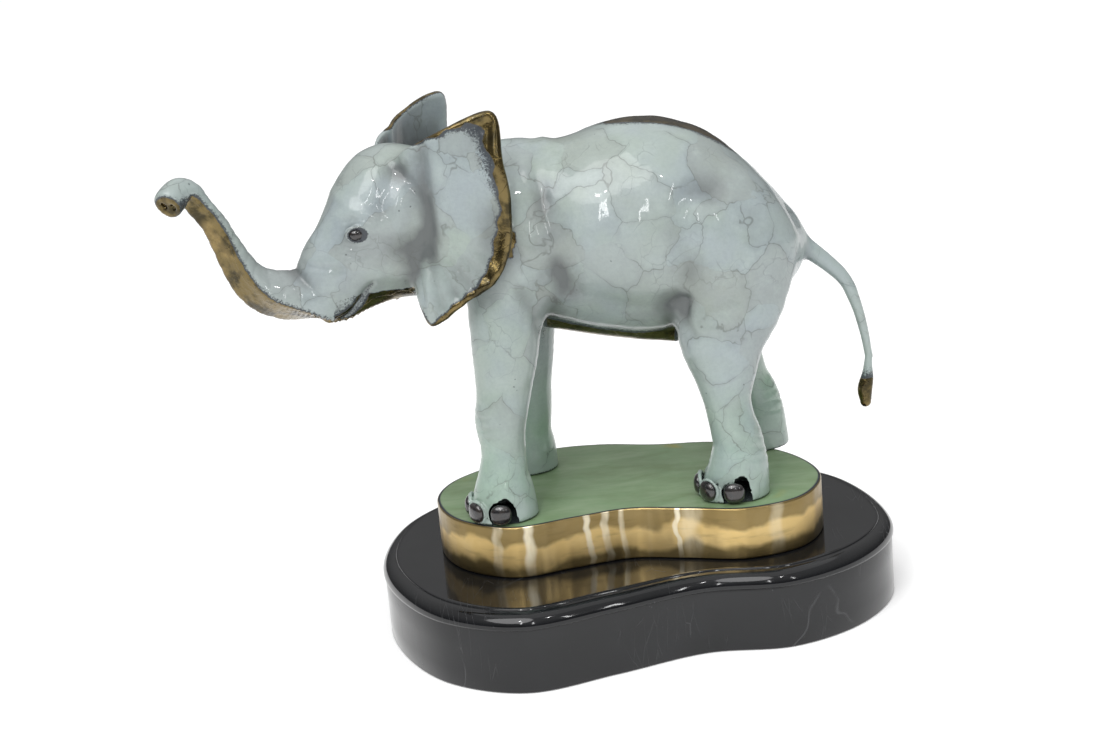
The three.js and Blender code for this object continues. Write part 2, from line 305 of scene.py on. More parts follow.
EAR_ROOT = (-28, 32)
EAR_FLARE = math.radians(24)
EAR_FAR_SHIFT = (-4, 3)  # the far ear sits a little further forward and higher
EAR_HALF_THICKNESS = 1.7
EAR_OUTLINE = closed_curve([
    (-9, 297), (-4, 309), (8, 315.5), (26, 323.5), (46, 331), (56, 328), (58, 304), (60.5, 278),
    (57, 248), (47, 230), (30, 220), (8, 206), (0, 216), (-5, 240), (-9, 270),
])
EAR_MIDDLE = (24, 272)
PLEAT_CENTRE = (-2, 279)  # the pleats fan out from here
PLEAT_PITCH = math.radians(10)

# Stations of a leg: x, share of the foot's spread, z, half widths across and along, share of the sweep.
FORELEG = [
    (-64.5, 0.56, 236, 16.5, 25, 0.3), (-68, 0.66, 207, 17.3, 22.5, 0.6), (-70.3, 0.75, 184, 17, 20.2, 0.8),
    (-73.5, 0.83, 160, 16, 17, 1), (-77, 0.9, 141, 15.6, 15.5, 1.15), (-76.8, 0.95, 124, 14.8, 13.8, 1.15),
    (-78.3, 0.99, 108, 16, 15.7, 1.05), (-78.8, 1, 96, 19, 18.8, 1), (-79.5, 1, SOLE - 3, 20.6, 21, 0.95),
]
# For the hind legs the last two columns are the shares of the knee's and the heel's sweep.
HIND_LEG = [
    (75, 0.55, 236, 20, 36, 0, 0), (70.5, 0.66, 207, 21.3, 33.5, 0, 0), (62.5, 0.76, 183, 19.2, 27, 0.2, 0),
    (62.3, 0.84, 161, 17.3, 19.6, 0.6, 0), (62.3, 0.91, 145, 15.3, 15, 1, 0),
    (63.8, 0.96, 130, 15, 14.4, 1, 0.3), (67, 0.99, 115, 15.8, 15.6, 1, 0.6),
    (66, 1, 100, 18.5, 18.4, 1, 0.8), (62.3, 1, SOLE - 3, 20.6, 21.8, 1, 1),
]
FORELEGS = [(NEAR, 50, 0), (FAR_SIDE, 41, 16)]  # side, spread, sweep
HIND_LEGS = [(NEAR, 50, 0, 0), (FAR_SIDE, 47, 19, 8)]  # side, spread, sweep of the knee and of the heel
NAIL_ANGLES = [math.radians(a) for a in (-60, -12, 36, 84)]
NAIL_CIRCLE = 21.3  # from the middle of a foot to the middle of a nail
NAIL_HEIGHT = 7.2  # middle of a nail above the sole
COLLAR_RADIUS, COLLAR_THICKNESS = 6.7, 1.15
COLLAR_SINK = 0.8  # how far a collar sits behind the nail's middle
COLLAR_BEND = 0.024  # how much a collar follows the foot's round side


def to_head(p):
    """Points in the head's own frame, where it points along -X."""
    c, s = math.cos(HEAD_TURN), math.sin(HEAD_TURN)
    v = p - NECK_PIVOT
    return np.stack([v[:, 0] * c + v[:, 1] * s, v[:, 1] * c - v[:, 0] * s, v[:, 2]], -1)


def from_head(h):
    c, s = math.cos(HEAD_TURN), math.sin(HEAD_TURN)
    h = np.atleast_2d(np.asarray(h, float))
    return NECK_PIVOT + np.stack([h[:, 0] * c - h[:, 1] * s, h[:, 0] * s + h[:, 1] * c, h[:, 2]], -1)


def foreleg(side, spread, sweep):
    return [[x + sweep * share, side * spread * out, z, across, along]
            for x, out, z, across, along, share in FORELEG]


def hind_leg(side, spread, knee, heel):
    return [[x + knee * knee_share + heel * heel_share, side * spread * out, z, across, along]
            for x, out, z, across, along, knee_share, heel_share in HIND_LEG]


def feet():
    """The middle of each foot in plan, and its side."""
    legs = [(foreleg(*leg), leg[0]) for leg in FORELEGS] + [(hind_leg(*leg), leg[0]) for leg in HIND_LEGS]
    return [(*stations[-1][:2], side) for stations, side in legs]


def nail_places():
    """Where each toenail sits and which way it faces."""
    places = []
    for x, y, side in feet():
        for angle in NAIL_ANGLES:
            out = np.array([-math.cos(angle), side * math.sin(angle), 0.0])
            places.append((np.array([x, y, SOLE + NAIL_HEIGHT]) + NAIL_CIRCLE * out, out))
    return places


def ear_frame(h, side):
    """Ear points as (distance behind the root, height, distance out from the ear's plane)."""
    shift, lift = EAR_FAR_SHIFT if side == FAR_SIDE else (0, 0)
    x, y = h[:, 0] - EAR_ROOT[0] - shift, h[:, 1] * side - EAR_ROOT[1]
    c, s = math.cos(EAR_FLARE), math.sin(EAR_FLARE)
    return x * c + y * s, h[:, 2] - lift, y * c - x * s


def pleats(back, z):
    """Ribs that fan out over the lower front of an ear, about 1 high."""
    du, dv = back - PLEAT_CENTRE[0], PLEAT_CENTRE[1] - z
    angle = np.arctan2(du, dv) / PLEAT_PITCH
    reach = smooth((np.hypot(du, dv) - 26) / 22)
    window = smooth((angle + 0.2) / 1.0) * smooth((6.2 - angle) / 2.5)
    rib = np.sqrt(np.abs(np.cos(math.pi * (angle - 0.02))) + 0.02) - 0.6
    return rib * reach * window


def ear_standoff(back, z):
    """How far the middle of an ear bulges from a flat sheet."""
    root = -9 * ramp((6 - back) / 12)
    valley = -4.5 * bell((back - 8) / 7) * smooth((z - 225) / 40)
    flap = 3 * np.sin(math.pi * ramp((back - 10) / 50))
    top = -3 * ramp((z - 300) / 28)
    lobe = 2 * ramp((245 - z) / 30)
    wave = 1.3 * np.sin(z / 11.0) * smooth((back - 30) / 25)
    return root + valley + flap + top + lobe + wave + 1.5 * pleats(back, z)


def ear(h, side):
    """Distance from an ear: a thin cupped sheet inside its outline, with a thick rolled rim."""
    out = np.full(len(h), NOWHERE)
    back, z, off = ear_frame(h, side)
    near = (back > -28) & (back < 78) & (z > 190) & (z < 350) & (off > -32) & (off < 28)
    if not near.any():
        return out
    back, z, off = back[near], z[near], off[near]
    off = off - ear_standoff(back, z)
    edge = outline_distance(back, z, EAR_OUTLINE)
    edge = edge + 0.7 * pleats(back, z)
    behind = smooth((back - 2) / 10)
    sheet_half = EAR_HALF_THICKNESS
    over = np.maximum(edge + sheet_half, 0)
    sheet = np.where(over > 0, np.hypot(over, off) - sheet_half, np.abs(off) - sheet_half)
    wander = 0.35 * np.sin(z / 5.3) + 0.3 * np.sin(back / 3.7 + z / 8.1)
    top_edge = smooth((z - 300) / 15) * smooth((42 - back) / 16)
    rim_radius = 1.0 + (1.35 + 0.6 * wander) * behind * smooth((z - 205) / 12) * (1 - 0.75 * top_edge)
    rim = np.hypot(edge + rim_radius + 0.4, off - 0.9 * behind) - rim_radius
    out[near] = blend(sheet * 0.9, rim * 0.9, 2.2)
    return out


def eyelids(h):
    """Distance from the rolled edges of the lids round both eyes."""
    out = np.full(len(h), NOWHERE)
    folded = h * [1, 0, 1] + np.abs(h[:, 1:2]) * [0, 1, 0]
    v = folded - EYE
    near = (np.abs(v) < 14).all(1)
    if near.any():
        v = v[near]
        wide, high = EYE_OPENING
        # the outer corner droops a little and the upper lid is heavier than the lower one
        x, z = v[:, 0], v[:, 2] + 0.10 * v[:, 0]
        ring = (np.hypot(x / wide, z / high) - 1) * high
        tube = 0.85 + 0.45 * smooth(z / 3)
        sit = 0.9 - 0.030 * x * x
        out[near] = np.hypot(ring - 0.5, v[:, 1] - sit) - tube
    return out


def nail_collars(p):
    """Distance from the raised skin round each toenail."""
    out = np.full(len(p), NOWHERE)
    if p[:, 2].min() > SOLE + 24:
        return out
    for place, facing in nail_places():
        near = inside_box(p, place - 12, place + 12)
        if near is None:
            continue
        v = p[near] - place
        outward = v @ facing
        across = v @ np.cross(facing, [0, 0, 1])
        ring = np.hypot(across, v[:, 2]) - COLLAR_RADIUS
        bend = -COLLAR_BEND * across ** 2
        tube = np.hypot(ring, outward - bend + COLLAR_SINK) - COLLAR_THICKNESS
        out[near] = np.minimum(out[near], tube)
    return out


def tip_frame(h):
    """Points as (across the trunk's end, along it, out of it)."""
    v = h - TRUNK_TIP
    across = np.cross(TIP_FACING, [0, 0, 1])
    across /= np.linalg.norm(across)
    return v @ across, v @ np.cross(TIP_FACING, across), v @ TIP_FACING


def trunk_form(h):
    """Distance from the trunk, with its end cut square and pierced by two nostrils."""
    trunk = limb(h, TRUNK, caps=(6, 4), per=6)
    near = np.linalg.norm(h - TRUNK_TIP, axis=1) < 24
    if near.any():
        across, along, out = tip_frame(h[near])
        end = out + 0.5 * bell(np.hypot(across, along) / 4)
        cut = overlap(trunk[near], end, 1.8)
        for x, y in NOSTRILS:
            pit = np.sqrt(((across - x) / 1.7) ** 2 + ((along - y) / 2.4) ** 2 + (out / 3.2) ** 2) - 1
            cut = overlap(cut, -1.8 * pit, 0.8)
        trunk[near] = cut
    return trunk


def head_form(h):
    head = mass(h, (-32, 0, 274.5), (35.5, 33.5, 39))
    head = blend(head, mass(h, (-54.5, 0, 256), (19, 25, 31)), 16)
    head = blend(head, mass(h, (-41, 0, 242), (33.5, 23, 12.5)), 12)
    head = blend(head, mass(h, (-22, 0, 242), (30, 26, 24)), 12)
    head = blend(head, trunk_form(h), 8)
    head = blend(head, limb(h, LIP, caps=(5, 3)), 4)
    head = blend(head, mass(h, LIP_TIP, (4.2, 3.6, 3.4)), 2)
    return head


def elephant_form(p):
    """Distance of points p from the whole elephant."""
    h = to_head(p)
    body = limb(p, BARREL, caps=(24, 13))
    body = blend(body, limb(p, KEEL, caps=(8, 5)), 7)
    for side in (NEAR, FAR_SIDE):
        body = blend(body, mass(p, (66.5, side * 22, 239.5), (34.5, 24, 40)), 14)
    for leg in FORELEGS:
        side, _, sweep = leg
        shoulder = mass(p, (-62 + sweep * 0.2, side * 27.9, 238), (24, 19, 44))
        body = blend(body, shoulder, 14)
        body = blend(body, limb(p, foreleg(*leg), caps=(12, 2)), 9)
    for leg in HIND_LEGS:
        body = blend(body, limb(p, hind_leg(*leg), caps=(12, 2)), 10)
    body = blend(body, limb(p, NECK, caps=(10, 10)), 14)
    body = blend(body, head_form(h), 12)
    body = blend(body, eyelids(h), 1.3)
    body = blend(body, blend(limb(p, TAIL, caps=(4, 2)), limb(p, TUFT, caps=(2, 4)), 2), 6)
    for side in (NEAR, FAR_SIDE):
        body = blend(body, ear(h, side), 4)
    body = blend(body, nail_collars(p), 1.4)
    return overlap(body, SOLE - p[:, 2], 0.8)


def in_batches(form, p, batch=16384):
    return np.concatenate([form(p[i:i + batch]) for i in range(0, len(p), batch)])


# ---- from a form to a mesh ----

def refine(low, blocks, block, form, keep):
    """Splits each block near the surface into 27, as whole-number places of the smaller blocks."""
    centres = low + (blocks + 0.5) * block
    near = blocks[np.abs(in_batches(form, centres)) < keep * block]
    offsets = np.array(list(np.ndindex(3, 3, 3)))
    fine = (near[:, None, :] * 3 + offsets).reshape(-1, 3)
    return fine[np.lexsort(fine.T[::-1])]


def skin_of(form, low, high, cell):
    """A quad mesh of where form is zero: one vertex in each cell that the surface crosses."""
    low, high = np.asarray(low, float), np.asarray(high, float)
    counts = np.ceil((high - low) / (9 * cell)).astype(int)
    blocks = np.array(list(np.ndindex(*counts)))
    blocks = refine(low, blocks, 9 * cell, form, 1.3)
    blocks = refine(low, blocks, 3 * cell, form, 1.3)
    values = np.full(counts * 9, NOWHERE, np.float32)
    values[tuple(blocks.T)] = in_batches(form, low + (blocks + 0.5) * cell)
    known = np.zeros(values.shape, bool)
    known[tuple(blocks.T)] = True
    inside = values < 0
    corners = list(np.ndindex(2, 2, 2))
    # Cells, named by their lowest corner, whose eight corners are all known
    cells = blocks[(blocks < np.array(values.shape) - 1).all(1)]
    at = np.stack([values[tuple((cells + c).T)] for c in corners], -1)
    sure = np.stack([known[tuple((cells + c).T)] for c in corners], -1).all(1)
    crossed = sure & (at.min(1) < 0) & (at.max(1) >= 0)
    cells, at = cells[crossed], at[crossed]
    total, count = np.zeros((len(cells), 3)), np.zeros(len(cells))
    for i, first in enumerate(corners):
        for axis in range(3):
            if first[axis]:
                continue
            second = list(first)
            second[axis] = 1
            a, b = at[:, i], at[:, corners.index(tuple(second))]
            cut = (a < 0) != (b < 0)
            share = np.where(cut, a / np.where(cut, a - b, 1), 0)
            spot = np.tile(np.array(first, float), (len(cells), 1))
            spot[:, axis] += share
            total += spot * cut[:, None]
            count += cut
    vertices = low + (cells + 0.5 + total / count[:, None]) * cell
    index = -np.ones(values.shape, np.int64)
    index[tuple(cells.T)] = np.arange(len(cells))
    quads = []
    for axis in range(3):
        u, v = (axis + 1) % 3, (axis + 2) % 3
        step, du, dv = np.eye(3, dtype=int)[[axis, u, v]]
        start = cells[(cells[:, u] > 0) & (cells[:, v] > 0)]
        a, b = inside[tuple(start.T)], inside[tuple((start + step).T)]
        start, out = start[a != b], a[a != b]
        ring = [index[tuple((start - s).T)] for s in (du + dv, dv, 0 * du, du)]
        quad = np.stack(ring, -1)
        quad = np.where(out[:, None], quad, quad[:, ::-1])
        quads.append(quad[(quad >= 0).all(1)])
    return vertices, np.vstack(quads)


def settle(form, p, rounds=2, step=0.25, most=2.0):
    """Moves points onto the form's surface."""
    for _ in range(rounds):
        here = in_batches(form, p)
        slope = np.stack([in_batches(form, p + step * np.eye(3)[k]) - here for k in range(3)], -1) / step
        move = here[:, None] * slope / np.maximum((slope ** 2).sum(1, keepdims=True), 0.05)
        size = np.linalg.norm(move, axis=1, keepdims=True)
        p = p - move * np.minimum(1, most / np.maximum(size, 1e-9))
    return p


def mesh_arrays(mesh):
    """A mesh's vertex places in millimetres, its edges, and its vertex normals."""
    places = np.zeros(len(mesh.vertices) * 3, np.float32)
    mesh.vertices.foreach_get("co", places)
    edges = np.zeros(len(mesh.edges) * 2, np.int32)
    mesh.edges.foreach_get("vertices", edges)
    normals = np.zeros(len(mesh.vertices) * 3, np.float32)
    mesh.vertex_normals.foreach_get("vector", normals)
    return (places.reshape(-1, 3).astype(float) / MM, edges.reshape(-1, 2),
            normals.reshape(-1, 3).astype(float))


def write_places(mesh, places):
    mesh.vertices.foreach_set("co", (places * MM).astype(np.float32).ravel())
    mesh.update()


def relaxed(places, edges, rounds, share=0.5):
    """The vertices after drifting to the middle of their neighbours."""
    a, b = edges.T
    degree = np.bincount(edges.ravel(), minlength=len(places))[:, None].clip(1)
    p = places.copy()
    for _ in range(rounds):
        pull = np.stack([
            np.bincount(a, p[b, k], len(p)) + np.bincount(b, p[a, k], len(p)) for k in range(3)
        ], -1)
        p += share * (pull / degree - p)
    return p


# ---- relief modelled on the skin: hollows, folds and wrinkles ----

ROUGHCAST = Unevenness(seed=3)

# Grooves and swellings seen from the side: (line of points along and up, half width, depth)
BODY_HOLLOWS = [
    ([(-41, 274), (-35, 257), (-30, 243), (-25, 228)], 13.0, 2.8),
    ([(-36, 232), (-28, 219), (-14, 211), (4, 205), (20, 204), (34, 208)], 8.0, 2.0),
    ([(60, 272), (51, 272.5), (44, 266), (40, 255), (40, 243), (44, 228)], 9.5, 2.9),
    ([(42, 208), (40, 197), (43, 188)], 2.6, 1.4),
    ([(-58, 222), (-50, 206), (-47, 194)], 3.5, 1.2),
]
BODY_RIDGES = [
    ([(-47, 296), (-45, 275), (-43, 256)], 4.0, 0.9),
    ([(54, 262), (60, 262)], 11.0, 1.2),
    ([(-4, 238), (16, 232)], 18.0, 1.3),
]
HEAD_HOLLOWS = [
    ([(-36, 298), (-41, 289), (-46, 280)], 7.5, 2.8),
    ([(-76, 212.5), (-69, 216), (-63, 222), (-58, 229.5), (-54, 234)], 1.7, 1.5),
    ([(-95, 250), (-83, 247.5), (-70, 245)], 2.2, 0.9),
    ([(-67, 259), (-60, 256.5), (-53, 258)], 1.3, 0.6),
    ([(-69, 255), (-60, 252), (-50, 255)], 1.4, 0.5),
    ([(-66, 273.5), (-60, 275.5), (-52, 273)], 1.4, 0.6),
    ([(-50, 262), (-44, 258), (-40, 252)], 3.0, 0.8),
]
HEAD_RIDGES = [
    ([(-68, 277), (-60, 280), (-50, 276)], 4.0, 1.1),
    ([(-66, 248), (-58, 244), (-52, 240)], 6.0, 0.8),
]


def carved(u, v, side, hollows, ridges):
    """Height of the hollows and ridges at points (u, v), where `side` is how squarely they face sideways."""
    height = np.zeros(len(u))
    for sign, lines in ((-1, hollows), (1, ridges)):
        for line, width, depth in lines:
            height += sign * side * depth * bell(line_distance(u, v, line) / width)
    return height


def flank(p, n):
    """How squarely the skin faces sideways."""
    return smooth((np.abs(n[:, 1]) - 0.15) / 0.45)


def body_relief(p, n):
    """Height to add to the body's skin, in millimetres."""
    u, v = p[:, 0], p[:, 2]
    side = flank(p, n)
    height = carved(u, v, side, BODY_HOLLOWS, BODY_RIDGES)
    # knees and ankles wrinkle across the leg
    wobble = ROUGHCAST(p, 9.0) * 2.2
    fore = np.abs(p[:, 0] + 74) < 36
    knee = bell((p[:, 2] - 140) / 13) * smooth(-n[:, 0] / 0.6 + 0.2) * fore
    ankle = bell((p[:, 2] - 112) / 11) * smooth(n[:, 0] / 0.6) * ~fore * (p[:, 0] < 112)
    height -= 0.55 * knee * ramp(np.sin((p[:, 2] + wobble) * 0.9)) ** 2
    height -= 0.5 * ankle * ramp(np.sin((p[:, 2] + wobble) * 1.0)) ** 2
    return height


def head_relief(h, n):
    u, v = h[:, 0], h[:, 2]
    side = smooth((np.abs(n[:, 1]) - 0.1) / 0.5) * (np.abs(h[:, 1]) < 36)
    return carved(u, v, side, HEAD_HOLLOWS, HEAD_RIDGES)


def trunk_relief(h, n):
    """Shallow rings round the top of the trunk."""
    on_trunk = smooth((-88 - h[:, 0]) / 12) * (np.abs(h[:, 1]) < 24) * (h[:, 0] > -163)
    along = np.hypot(h[:, 0] + 96, h[:, 2] - 300)
    turn = np.arctan2(h[:, 2] - 300, h[:, 0] + 96)
    ring = np.sin(turn * 46 + 1.6 * ROUGHCAST(h, 12.0))
    return -0.28 * on_trunk * ramp(ring) ** 2 * smooth((along - 30) / 15)


def relief(p, n):
    h = to_head(p)
    front = smooth((-58 - p[:, 0]) / 12) * (p[:, 2] > 205)
    turn = to_head(p + n) - h
    height = (1 - front) * body_relief(p, n) + front * (head_relief(h, turn) + trunk_relief(h, turn))
    hand = 0.30 * ROUGHCAST(p, 16.0) + 0.16 * ROUGHCAST(p + 77, 7.0)
    return height + hand * smooth((p[:, 2] - SOLE - 3) / 6)


# ---- finishes painted on the skin: each is a value at every vertex ----

# Round an ear, in degrees from straight back: width of the polished rim and of its dark fringe
EAR_RIM = [
    (-180, -4, 1), (-125, -4, 1), (-108, 1, 1), (-92, 4, 1.5), (-78, 5, 2), (-55, 8.5, 1.5),
    (-38, 10.5, 1.5), (-20, 7.5, 1.5), (0, 6.5, 2), (25, 6.2, 3.5), (45, 6, 6.5), (58, 8.4, 7.5),
    (66, 8.5, 6), (76, 3, 3), (95, 0.9, 1.2), (125, -2.5, 1), (150, -4, 1), (180, -4, 1),
]


def ear_finish(h, side):
    """How far a point is inside the ear's polished rim, and how wide the dark fringe is there."""
    back, z, off = ear_frame(h, side)
    polish, fringe = np.full(len(h), -30.0), np.full(len(h), 1.5)
    near = (back > -12) & (back < 78) & (z > 196) & (z < 345)
    near &= np.abs(off - ear_standoff(back, z)) < 4.2
    if not near.any():
        return polish, fringe
    back, z, off = back[near], z[near], off[near]
    inset = -outline_distance(back, z, EAR_OUTLINE)
    angle = np.degrees(np.arctan2(z - EAR_MIDDLE[1], back - EAR_MIDDLE[0]))
    marks, widths, spread = np.array(EAR_RIM).T
    width = np.interp(angle, marks, widths)
    width += 0.8 * np.sin(z / 4.1) + 0.6 * np.sin(z / 2.3 + back / 3)
    behind = off < ear_standoff(back, z)
    width = np.where(behind, np.minimum(width, 0.4), width)
    polish[near] = np.where(inset > -2.4, width - inset, -30)
    fringe[near] = np.where(behind, 0.8, np.interp(angle, marks, spread))
    return polish, fringe


def finishes(p, n):
    """The signed distance into polished metal, and how dark and how green each vertex is; the darkness is a
    fringe round the polish and painted shade in recesses.
    """
    h, turned = to_head(p), to_head(p + n) - to_head(p)
    x, y, z = p.T
    regions = []
    for side in (NEAR, FAR_SIDE):
        regions.append(ear_finish(h, side))
    # the trunk's flat underside and its tip; the dark fringe round the underside is partly painted shade
    # above the trunk's ridge
    round_form, flat_form = limb(h, TRUNK, caps=(6, 4), both=True, per=6)
    under = np.where(round_form < 4, flat_form - round_form, -30) - 0.4
    under = np.where((h[:, 0] < -80) & (h[:, 2] < 300), under, -30)
    under = np.minimum(under, (-82 - h[:, 0]) * 0.5)
    regions.append((under, 2.4))
    tip = 7.5 - np.linalg.norm((h - TRUNK_TIP) * [1.0, 0.8, 1.0], axis=1)
    regions.append((tip, 1.6))
    # the lip's knob and the underside of the jaw
    regions.append((5.6 - np.linalg.norm(h - LIP_TIP, axis=1), 1.2))
    jaw = (-turned[:, 2] - 0.52) * 9
    jaw = np.where((h[:, 0] > -78) & (h[:, 0] < -27) & (h[:, 2] < 228) & (x < -80), jaw, -30)
    regions.append((jaw, 2.6))
    # the crest of the back
    reach = 1 - ((x - 42) / 40) ** 2
    crest = 14.5 * np.sqrt(np.maximum(reach, 0)) - np.abs(y) - 14 * np.maximum(-reach, 0)
    regions.append((np.where(n[:, 2] > 0.3, crest, -30), 2.2 + 2.5 * smooth(np.abs(x - 42) / 40)))
    # the keel of the belly; its wide dark fringe is painted shadow under the belly's edge
    keel = 14.5 - np.abs(y) + 3 * (x > 30)
    keel = np.minimum(keel, (193 - 0.1 * x - z) * 1.2)
    keel = np.minimum(keel, np.minimum(x + 43, 36 - x))
    regions.append((np.where(z > 160, keel, -30), 4.0))
    # the tuft of the tail
    regions.append((np.where(x > 145, (TUFT_TOP - z) * 0.9, -30), 6.0))

    polish = np.full(len(p), -30.0)
    fringe_and_shade = np.zeros(len(p))
    for depth, fringe in regions:
        polish = np.maximum(polish, depth)
        fringe_and_shade = np.maximum(fringe_and_shade, np.exp(-np.maximum(-depth, 0) / fringe) * (depth > -29))
    # painted shade: dark round the nails, along the soles, in the mouth and round the eyes
    for place, _ in nail_places():
        away = np.linalg.norm(p - place, axis=1)
        fringe_and_shade = np.maximum(fringe_and_shade, 0.85 * bell(np.maximum(away - 5.6, 0) / 1.1))
    fringe_and_shade = np.maximum(fringe_and_shade, 0.75 * bell((z - SOLE) / 1.6))
    mouth = line_distance(h[:, 0], h[:, 2], [(-78, 211), (-70, 214), (-63, 220), (-58, 228), (-54, 234)])
    front = (x < -95) & (np.abs(h[:, 1]) < 30)
    fringe_and_shade = np.maximum(fringe_and_shade, 0.62 * bell(mouth / 1.5) * front)
    v = np.abs(h) * [0, 1, 0] + h * [1, 0, 1] - EYE
    ring = np.hypot(v[:, 0] / EYE_OPENING[0], v[:, 2] / EYE_OPENING[1])
    fringe_and_shade = np.maximum(fringe_and_shade, 1.0 * bell(np.maximum(ring - 0.95, 0) / 0.28) * (np.abs(v[:, 1]) < 6) * front)
    # painted shade in the armpit behind the foreleg
    armpit = bell((x + 43) / 9) * bell((z - 194) / 6) * (np.abs(y) < 40)
    fringe_and_shade = np.maximum(fringe_and_shade, 0.7 * armpit)
    green = smooth((175 - z) / 80) * 0.8 + 0.5 * smooth((y - 5) / 30) * smooth((200 - z) / 60)
    return {"polish": polish, "fringe_and_shade": np.clip(fringe_and_shade, 0, 1), "green": np.clip(green, 0, 1)}


def set_attribute(mesh, name, values):
    layer = mesh.attributes.get(name) or mesh.attributes.new(name, "FLOAT", "POINT")
    layer.data.foreach_set("value", np.asarray(values, np.float32))


# ---- node trees ----

def add_node(tree, kind, settings=None, inputs=None):
    """Adds a node: first its settings, then the values or links of its sockets."""
    node = tree.nodes.new(kind)
    for name, value in (settings or {}).items():
        setattr(node, name, value)
    for name, value in (inputs or {}).items():
        if isinstance(value, Wire):
            value = value.socket
        if isinstance(value, bpy.types.NodeSocket):
            tree.links.new(value, node.inputs[name])
        else:
            node.inputs[name].default_value = value
    return node


class Wire:
    """A value that varies over a surface. Arithmetic on wires adds Math nodes to the tree."""

    def __init__(self, tree, socket):
        self.tree = tree
        self.socket = socket

    def node(self, kind, settings=None, inputs=None, output=0):
        return Wire(self.tree, add_node(self.tree, kind, settings, inputs).outputs[output])

    def math(self, operation, first, second):
        return self.node("ShaderNodeMath", {"operation": operation}, {0: first, 1: second})

    def __add__(self, other):
        return self.math("ADD", self, other)

    def __sub__(self, other):
        return self.math("SUBTRACT", self, other)

    def __rsub__(self, other):
        return self.math("SUBTRACT", other, self)

    def __mul__(self, other):
        return self.math("MULTIPLY", self, other)

    def __truediv__(self, other):
        return self.math("DIVIDE", self, other)

    def __pow__(self, other):
        return self.math("POWER", self, other)

    __radd__ = __add__
    __rmul__ = __mul__

    def at_least(self, other):
        return self.math("MAXIMUM", self, other)

    def at_most(self, other):
        return self.math("MINIMUM", self, other)

    def smooth(self, low, high, to_low=0.0, to_high=1.0):
        return self.node("ShaderNodeMapRange", {"interpolation_type": "SMOOTHSTEP"}, {
            "Value": self, "From Min": low, "From Max": high, "To Min": to_low, "To Max": to_high})

    def moved(self, by):
        return self.node("ShaderNodeVectorMath", {"operation": "ADD"}, {0: self, 1: by})

    def scaled(self, by):
        return self.node("ShaderNodeVectorMath", {"operation": "MULTIPLY"}, {0: self, 1: by})


class Finish:
    """A material and the few textures and mixes that its finish is built from."""

    def __init__(self, name):
        self.material = bpy.data.materials.new(name)
        self.material.use_nodes = True
        self.tree = self.material.node_tree
        self.tree.nodes.clear()
        self.out = self.tree.nodes.new("ShaderNodeOutputMaterial")
        self.start = Wire(self.tree, None)
        self.place = self.node("ShaderNodeTexCoord", output="Object")

    def node(self, kind, settings=None, inputs=None, output=0):
        return self.start.node(kind, settings, inputs, output)

    def attribute(self, name):
        return self.node("ShaderNodeAttribute", {"attribute_name": name}, output="Fac")

    def noise(self, scale, detail=2.0, roughness=0.5, at=None, output="Fac"):
        return self.node("ShaderNodeTexNoise", None, {
            "Vector": at or self.place, "Scale": scale, "Detail": detail, "Roughness": roughness}, output)

    def cells(self, scale, at=None, feature="F1", output="Distance"):
        return self.node("ShaderNodeTexVoronoi", {"feature": feature}, {
            "Vector": at or self.place, "Scale": scale}, output)

    def mix(self, factor, first, second):
        return self.node("ShaderNodeMix", {"data_type": "RGBA"}, {0: factor, 6: first, 7: second}, 2)

    def stray(self, scale, amount, at=None):
        """Places shifted a little by noise, so that what is drawn on them wanders."""
        colour = self.noise(scale, 1.0, at=at, output="Color")
        shift = self.node("ShaderNodeVectorMath", {"operation": "SUBTRACT"}, {0: colour, 1: (0.5, 0.5, 0.5)})
        shift = self.node("ShaderNodeVectorMath", {"operation": "SCALE"}, {0: shift, "Scale": amount})
        return (at or self.place).moved(shift)

    def bump(self, height, depth, strength=1.0, under=None):
        inputs = {"Height": height, "Distance": depth, "Strength": strength}
        if under is not None:
            inputs["Normal"] = under
        return self.node("ShaderNodeBump", None, inputs)

    def shader(self, **inputs):
        named = {key.replace("_", " "): value for key, value in inputs.items()}
        return self.node("ShaderNodeBsdfPrincipled", None, named)

    def finish(self, shader):
        self.tree.links.new(shader.socket, self.out.inputs["Surface"])
        return self.material


LOBES, SMALL_LOBES = 30, 74  # patches of patina to a metre, between the veins and the fine veins


